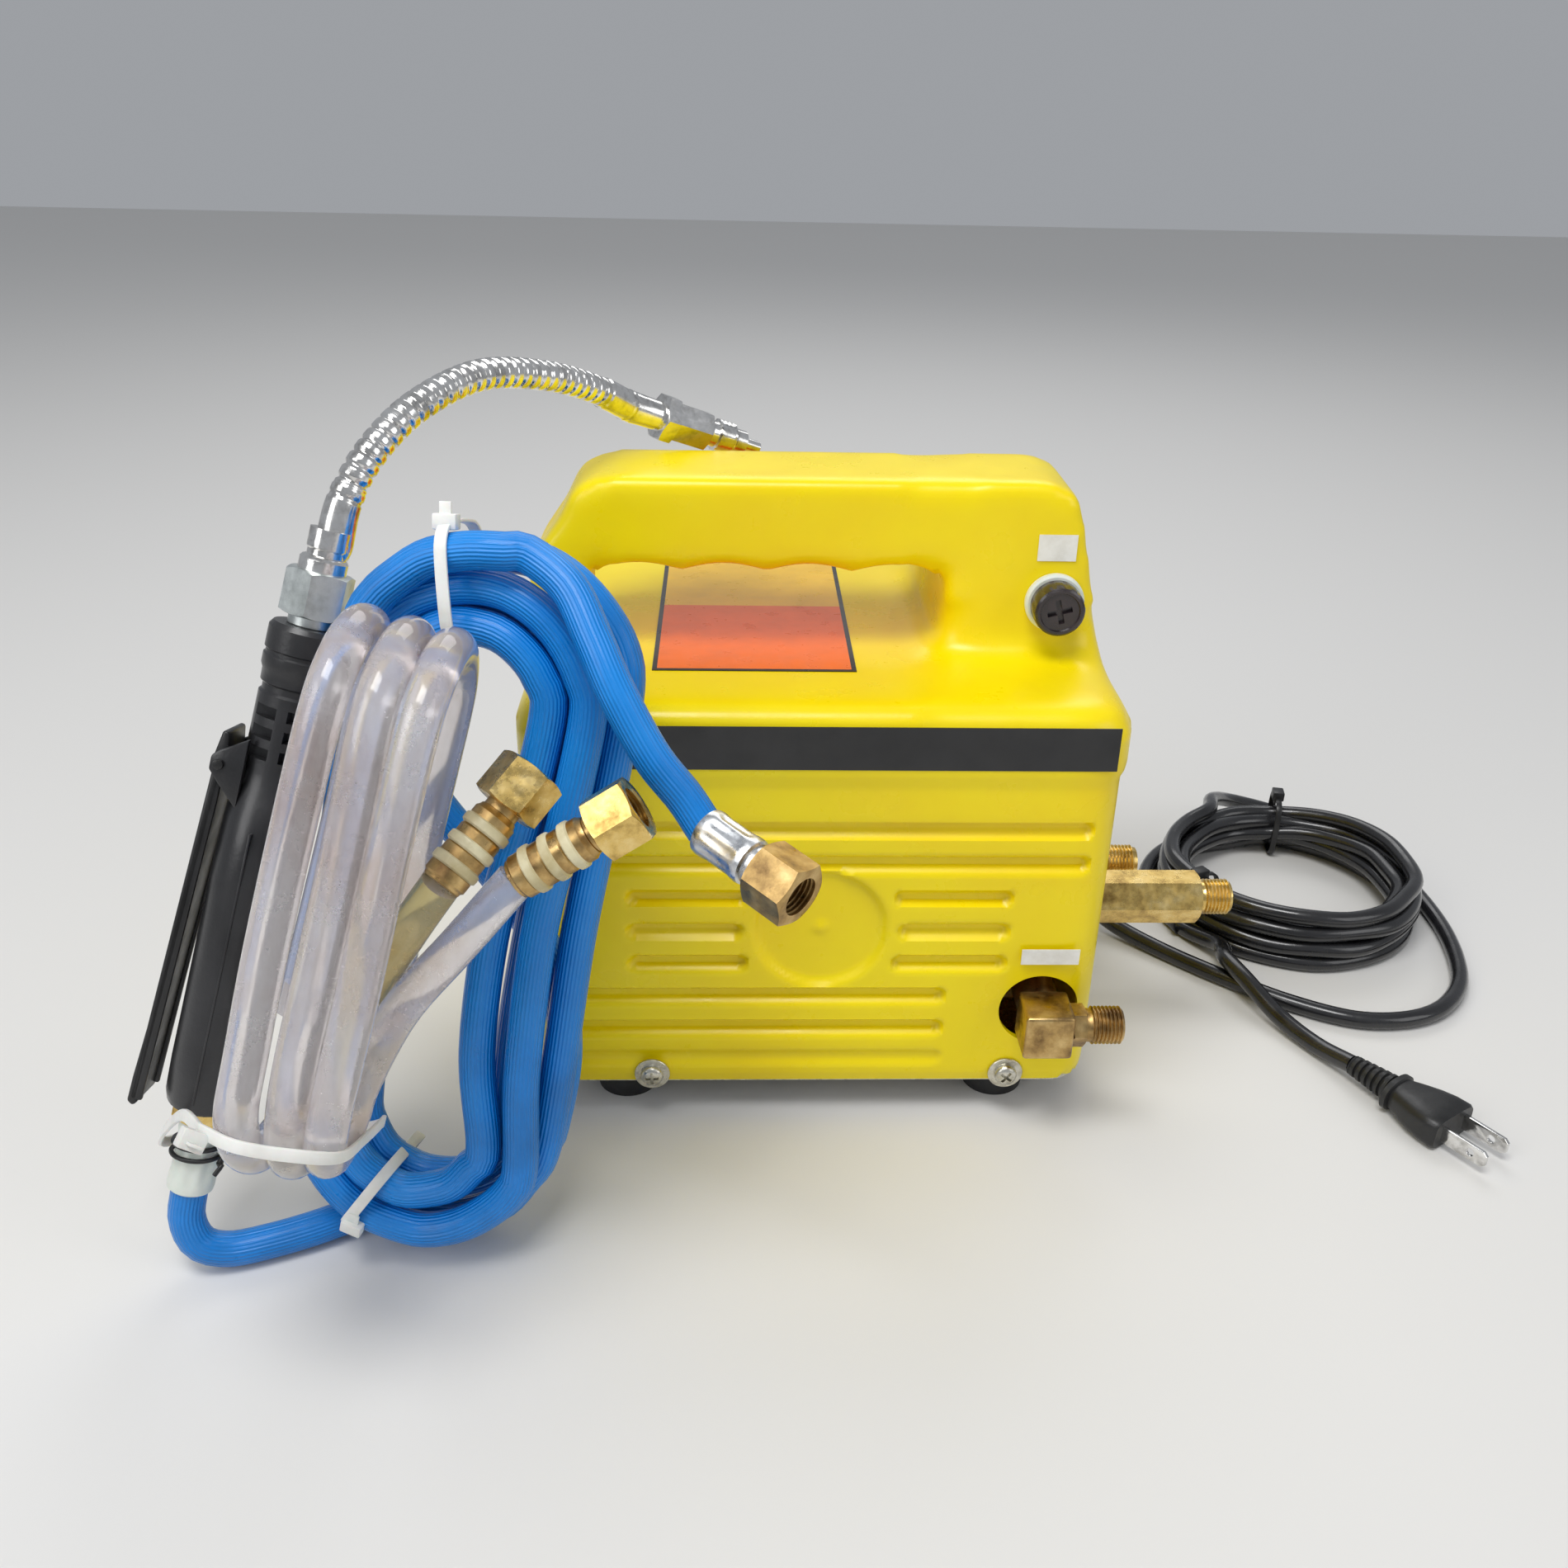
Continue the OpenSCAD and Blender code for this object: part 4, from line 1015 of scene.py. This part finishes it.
def make_relief():
    """Tapered bush where the mains lead leaves the case."""
    stations = [(6.4, 0), (6.6, 0.6), (6.6, 2.4), (5.7, 3)]
    for i in range(7):
        z = 3.6 + i * 2.7
        swell = 5.5 - 0.2 * i
        stations += [(swell - 0.55, z), (swell, z + 0.3), (swell, z + 1.6), (swell - 0.55, z + 1.9)]
    bush = turned_stock(stations + [(3.75, 23)], 32)
    way = Vector((0.985, -0.11, -0.15)).to_track_quat("Z", "Y").to_matrix().to_4x4()
    return place(bush, "lead_bush", at(100, 52, 24) @ way, black_rubber(), "black_lead")


def wrap(x, z, angle, inner, outer, front, back):
    """A loop of points round a bundle, in the plane that cuts it across at an angle."""
    c, s = math.cos(math.radians(angle)), math.sin(math.radians(angle))
    middle, half = (inner + outer) / 2, (outer - inner) / 2
    deep, mid = (back - front) / 2, (front + back) / 2
    points = []
    for i in range(20):
        a = 2 * math.pi * i / 20
        u = math.copysign(abs(math.cos(a)) ** 0.55, math.cos(a)) * half + middle
        v = math.copysign(abs(math.sin(a)) ** 0.55, math.sin(a)) * deep + mid
        points.append(Vector((x + u * c, v, z + u * s)))
    return points


def make_ties():
    nylon = tie_nylon()
    ties = []

    def tie(name, frame, points, across, head, head_turn, finish, slot, width=3.6):
        band = strap(name, [frame @ p for p in points], frame.to_3x3() @ Vector(across), width, 1.1)
        lock = rounded(block((-3.4, -2.6, -2.2), (3.4, 2.6, 2.2)), 0.5, 2)
        spare = rounded(block((-1.7, -1.2, 1), (1.7, -0.4, 5.5)), 0.2, 2)
        lock = joined(lock, spare)
        lock.data.transform(frame @ at(*head) @ turn(*head_turn))
        ties.append(place(joined(band, lock), name, Matrix(), finish, slot))

    white = (nylon, "white_plastic")
    tie("tie_top", HANK, wrap(-4, 62, 103, 17, 52.5, -21.5, 11), (1, 0, 0.25), (-16, -14, 113), (0, -8, 4), *white)
    tie("tie_bottom", HANK, wrap(0, -70, -118, 17, 42.5, -15, 21), (1, 0, -0.5), (-16, -13, -105), (20, 10, 0), *white)
    # The lower tie holds the clear hank's foot to the gun's crimp
    low = [(-18, -27, -58), (-8, -30.8, -58), (6, -30.8, -57), (17, -26, -57), (19.5, -8, -60), (20, 16, -66),
           (16, 32, -76), (0, 42, -88), (-18, 52, -98), (-31, 57, -104), (-42, 55, -106), (-46, 46, -104),
           (-44, 34, -96), (-36, 12, -79), (-27, -10, -64)]
    tie("tie_lower", CLEAR, [Vector(p) for p in low], (0, 0, 1), (-19, -29, -60), (70, 20, 25), *white)
    dark = black_plastic()
    for name, angle in (("lead_tie_1", 78), ("lead_tie_2", 205)):
        frame_here = Matrix.Translation(COIL_AT) @ turn(0, 0, angle) @ turn(90, 0, 0)
        points = wrap(0, 0, 0, 42.5, 65.5, 0.6, 28.6)
        points = [Vector((p.x, p.y, 0)) for p in points]
        tie(name, frame_here, points, (0, 0, 1), (54, 29.5, 0), (90, 0, 0), dark, "black_plastic", 2.6)
    return ties


def make_screws():
    steel = zinc_steel()
    heads = []
    for x in SCREWS_X:
        for y, way in ((-CASE_HALF_DEEP, 90), (CASE_HALF_DEEP, -90)):
            washer = turned_stock([(6.0, 0), (6.2, 0.2), (6.2, 0.9), (6.0, 1.1)], 36)
            pan = turned_stock([(3.9, 1.0), (4.0, 1.3), (4.0, 2.2), (3.6, 3.0), (2.8, 3.5), (1.6, 3.8)], 36)
            pan = cut(pan, block((-2.4, -0.5, 2.3), (2.4, 0.5, 4.4)))
            pan = cut(pan, block((-0.5, -2.4, 2.3), (0.5, 2.4, 4.4)))
            shank = turned_stock(thread(2.1, -7, 0, 0.7), 24)
            head = joined(washer, pan, shank)
            head.data.transform(at(x, y * 0.982, SCREWS_Z) @ turn(way, 0, 0) @ turn(0, 0, 25 + x * 0.4))
            heads.append(head)
    place(joined(*heads), "cover_screws", Matrix(), steel, "zinc_steel", stands_for=["case_screws"])


# ---------------------------------------------------------------- the case
def make_case():
    box = block((-100, -85, 14), (100, 85, 160))
    box = soften_edges(box, lambda a, b: abs(a.z - b.z) > 50, 14, 6)
    box = soften_edges(box, lambda a, b: a.z > 159 and b.z > 159, 7, 4)
    fin = [(-99, 140), (-99.5, 160), (-98, 190), (-87, 206), (-83, 216), (-73, 220)]
    fin += [(73, 220), (83, 216), (86.5, 206), (91, 186), (95.5, 168), (99.5, 154), (99, 140)]
    handle = plate(fin, -8, 36, turn(90, 0, 0))
    handle = soften_edges(handle, lambda a, b: abs(a.y - b.y) < 1 and min(a.z, b.z) > 158, 9, 4)
    hand = rounded(block((-79, -60, 148), (41, 60, 190)), 1, 1)
    hand = soften_edges(hand, lambda a, b: abs(a.y - b.y) > 60 and a.z > 170, 10, 4)
    handle = cut(handle, hand)
    side = [(-36, 146), (-36, 190), (-33, 212), (-26, 219.5), (6, 219.5), (14, 214), (34, 193), (57, 171),
            (58, 160), (58, 146)]
    tower = plate(side, 41, 100, turn(0, 0, 90) @ turn(90, 0, 0))
    trim = plate(fin, -80, 60, turn(90, 0, 0))
    tower = cut(tower, trim, "INTERSECT")
    shell = joined(box, handle, tower)
    apply(shell, "REMESH", mode="VOXEL", voxel_size=2.7, adaptivity=0)
    ease(shell, lambda p: True, 5)
    ease(shell, lambda p: 152 < p.z < 178 and p.y < 68 and (p.x < -70 or p.x > 30), 22)
    ease(shell, lambda p: p.z > 186 and (abs(p.x + 80) < 10 or abs(p.x - 40) < 12), 8)
    press_pattern(shell)
    open_bottom(shell)
    apply(shell, "SOLIDIFY", thickness=2.4, offset=-1)
    holes = [rod(14, (77.5, -95, 46), (77.5, -70, 46), 64), rod(11.5, (85, -40, 66), (110, -40, 66), 48),
             rod(9.5, (85, -14, 66), (110, -14, 66), 48), rod(5.8, (85, 52, 24), (110, 52, 24), 32),
             rod(6.4, (78, -50, 180), (78, -20, 180), 40), block((56, 70, 108), (76, 95, 135))]
    holes += [rounded(block((-74 + i * 9, 70, 50), (-70 + i * 9, 95, 100)), 1.6, 2) for i in range(10)]
    for x in SCREWS_X:
        for y in (-CASE_HALF_DEEP, CASE_HALF_DEEP):
            holes.append(rod(2.3, (x, y - 10, SCREWS_Z), (x, y + 10, SCREWS_Z), 20))
    shell = cut(shell, joined(*holes))
    place(shell, "moulded_case", Matrix(), yellow_plastic(), "yellow_plastic", stands_for=["case_cover"], sharp=50)


def soften_edges(obj, choose, width, segments):
    """Bevels the edges that the rule picks by their two ends."""
    only(obj)
    bpy.ops.object.mode_set(mode="EDIT")
    bpy.ops.mesh.select_mode(type="EDGE")
    bpy.ops.mesh.select_all(action="DESELECT")
    bm = bmesh.from_edit_mesh(obj.data)
    for edge in bm.edges:
        sharp = len(edge.link_faces) == 2 and edge.calc_face_angle(0) > math.radians(20)
        edge.select_set(bool(sharp and choose(edge.verts[0].co, edge.verts[1].co)))
    bmesh.update_edit_mesh(obj.data)
    bpy.ops.mesh.bevel(offset=width, segments=segments, affect="EDGES", clamp_overlap=True)
    bpy.ops.mesh.select_mode(type="VERT")
    bpy.ops.object.mode_set(mode="OBJECT")
    return obj


def ease(obj, choose, times):
    only(obj)
    bpy.ops.object.mode_set(mode="EDIT")
    bpy.ops.mesh.select_mode(type="VERT")
    bpy.ops.mesh.select_all(action="DESELECT")
    bm = bmesh.from_edit_mesh(obj.data)
    for vert in bm.verts:
        vert.select_set(bool(choose(vert.co)))
    bmesh.update_edit_mesh(obj.data)
    bpy.ops.mesh.vertices_smooth(factor=0.5, repeat=times)
    bpy.ops.object.mode_set(mode="OBJECT")


def groove(x, z, left, right, level, half=3.4):
    """How deep a round-ended groove is at a point of the front, from 0 to 1."""
    dx = max(left + half - x, x - (right - half), 0)
    d = math.hypot(dx, z - level) / half
    return 0.0 if d >= 1 else min(1.0, (1 - d) * 1.9)


ROWS = [(117, [(-90, 90)]), (104, [(-90, 90)]), (91, [(-66, -24), (24, 65)]), (78, [(-66, -26), (26, 65)]),
        (65, [(-66, -24), (24, 65)]), (51.5, [(-90, 45)]), (38, [(-90, 45)]), (25.5, [(-90, 45)])]


def press_pattern(obj):
    """Presses the front's grooves and round dish, steps the body in below the band and scallops the grip."""
    bm = bmesh.new()
    bm.from_mesh(obj.data)
    bm.normal_update()
    centres = [(f, f.calc_center_median()) for f in bm.faces if f.normal.y < -0.85]
    front = [f for f, c in centres if c.y < -80 and 18 < c.z < 126]
    edges = {e for f in front for e in f.edges}
    bmesh.ops.subdivide_edges(bm, edges=list(edges), cuts=1, use_grid_fill=True)
    bm.normal_update()
    for vert in bm.verts:
        x, y, z = vert.co
        n = vert.normal
        flat = math.hypot(n.x, n.y)
        if z < 138 and flat > 0.5:
            step = min(1.0, (138 - z) / 5)
            step = step * step * (3 - 2 * step)
            vert.co.x -= n.x / flat * 1.6 * step
            vert.co.y -= n.y / flat * 1.6 * step
        if n.y < -0.6 and y < -78 and z < 126:
            deep = 0.0
            for level, spans in ROWS:
                if abs(z - level) < 4:
                    for left, right in spans:
                        deep = max(deep, groove(x, z, left, right, level))
            away = math.hypot(x, z - 78.5)
            if away < 23.5:
                deep = max(deep, min(1.0, (23.5 - away) / 2.6) * (0.72 - 0.3 * math.exp(-(away / 2.2) ** 2)))
            vert.co.y += (1.6 if z < 31 else 3.4) * deep * (3 - 2 * deep) * deep
        if n.z < -0.5 and 184 < z < 196 and -76 < x < 38 and -40 < y < 12:
            phase = (x + 76) / 114 * 4
            vert.co.z += -2.4 * (1 - abs(math.sin(math.pi * phase))) + 0.6
    bm.to_mesh(obj.data)
    bm.free()


def open_bottom(obj):
    bm = bmesh.new()
    bm.from_mesh(obj.data)
    bm.normal_update()
    under = [f for f in bm.faces if f.normal.z < -0.7 and f.calc_center_median().z < 17]
    bmesh.ops.delete(bm, geom=under, context="FACES")
    bm.to_mesh(obj.data)
    bm.free()


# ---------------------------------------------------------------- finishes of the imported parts
def dress(finish, slot, *nodes):
    for name in nodes:
        obj = frame["nodes"][name]
        obj.data.materials.clear()
        obj.data.materials.append(finish)


def dress_parts():
    dress(black_decal(), "black_decal", "front_band")
    dress(label_print(), "label_print", "deck_label")
    dress(small_label(), "label_print", "outlet_label", "fuse_label")
    zinc = zinc_steel()
    dress(zinc, "zinc_steel", "base_tray", "foot_screws", "foot_nuts", "motor_saddle", "motor_shaft",
          "shaft_bearings", "cam_bearing", "plunger", "plunger_spring", "gun_valve_stem", "inlet_valve_ball",
          "outlet_valve_ball")
    dress(black_rubber(), "black_rubber", "rubber_feet")
    dress(motor_paint(), "motor_paint", "motor_housing")
    alloy = cast_alloy()
    dress(alloy, "cast_alloy", "motor_front_cap", "motor_rear_cap", "crankcase", "eccentric_cam")
    dress(motor_core(), "motor_core", "stator", "rotor_core")
    dress(white_plastic(), "white_plastic", "cooling_fan", "capacitor")
    dress(brass(), "brass", "pump_head")
    dark = black_plastic()
    dress(dark, "black_plastic", "power_switch", "fuse_carrier")
    dress(red_plastic(), "red_plastic", "power_rocker")
    dress(fuse_glass(), "fuse_glass", "fuse_tube")


# ---------------------------------------------------------------- making
make_camera()
make_floor()
set_colour_view()
make_light("overhead", (-0.25, -0.55, 1.45), (0, -0.02, 0.1), (0.8, 0.5), 13)
make_light("window", (-1.1, -0.9, 0.95), (0, 0, 0.1), (0.7, 0.9), 6)
make_light("fill", (1.2, -0.8, 0.8), (0.02, 0, 0.1), (0.8, 0.8), 3.5)
make_light("back", (0.2, 1.1, 1.2), (0, 0, 0.12), (1.0, 0.7), 5)

pressure_hose, pressure_line, pressure_length = lay_cord(
    "pressure_hose", pressure_hose_points(), HOSE_D, 3.0, 22, blue_hose(),
    ["pressure_hose_start", "pressure_hose_hank", "pressure_hose_end"])
suction_hose, suction_line, suction_length = lay_cord(
    "suction_hose", suction_hose_points(), CLEAR_D, 3.0, 22, aged_vinyl(),
    ["clear_hose_hank", "suction_hose_end"], (0.72, None))
bypass_hose, bypass_line, bypass_length = lay_cord(
    "bypass_hose", bypass_hose_points(), CLEAR_D, 3.0, 22, clear_vinyl(),
    ["bypass_hose_end"], (0.72, None))
mains_cord, lead_line, lead_length = lay_cord(
    "mains_cord", lead_points(), LEAD_D, 3.0, 14, black_lead(), ["mains_lead", "lead_coil", "lead_tail"])

make_case()
make_brass()
make_gun()
make_neck()
make_fuse()
plug_body, plug_blades = make_plug()
lead_bush = make_relief()
ties = make_ties()
make_screws()
dress_parts()
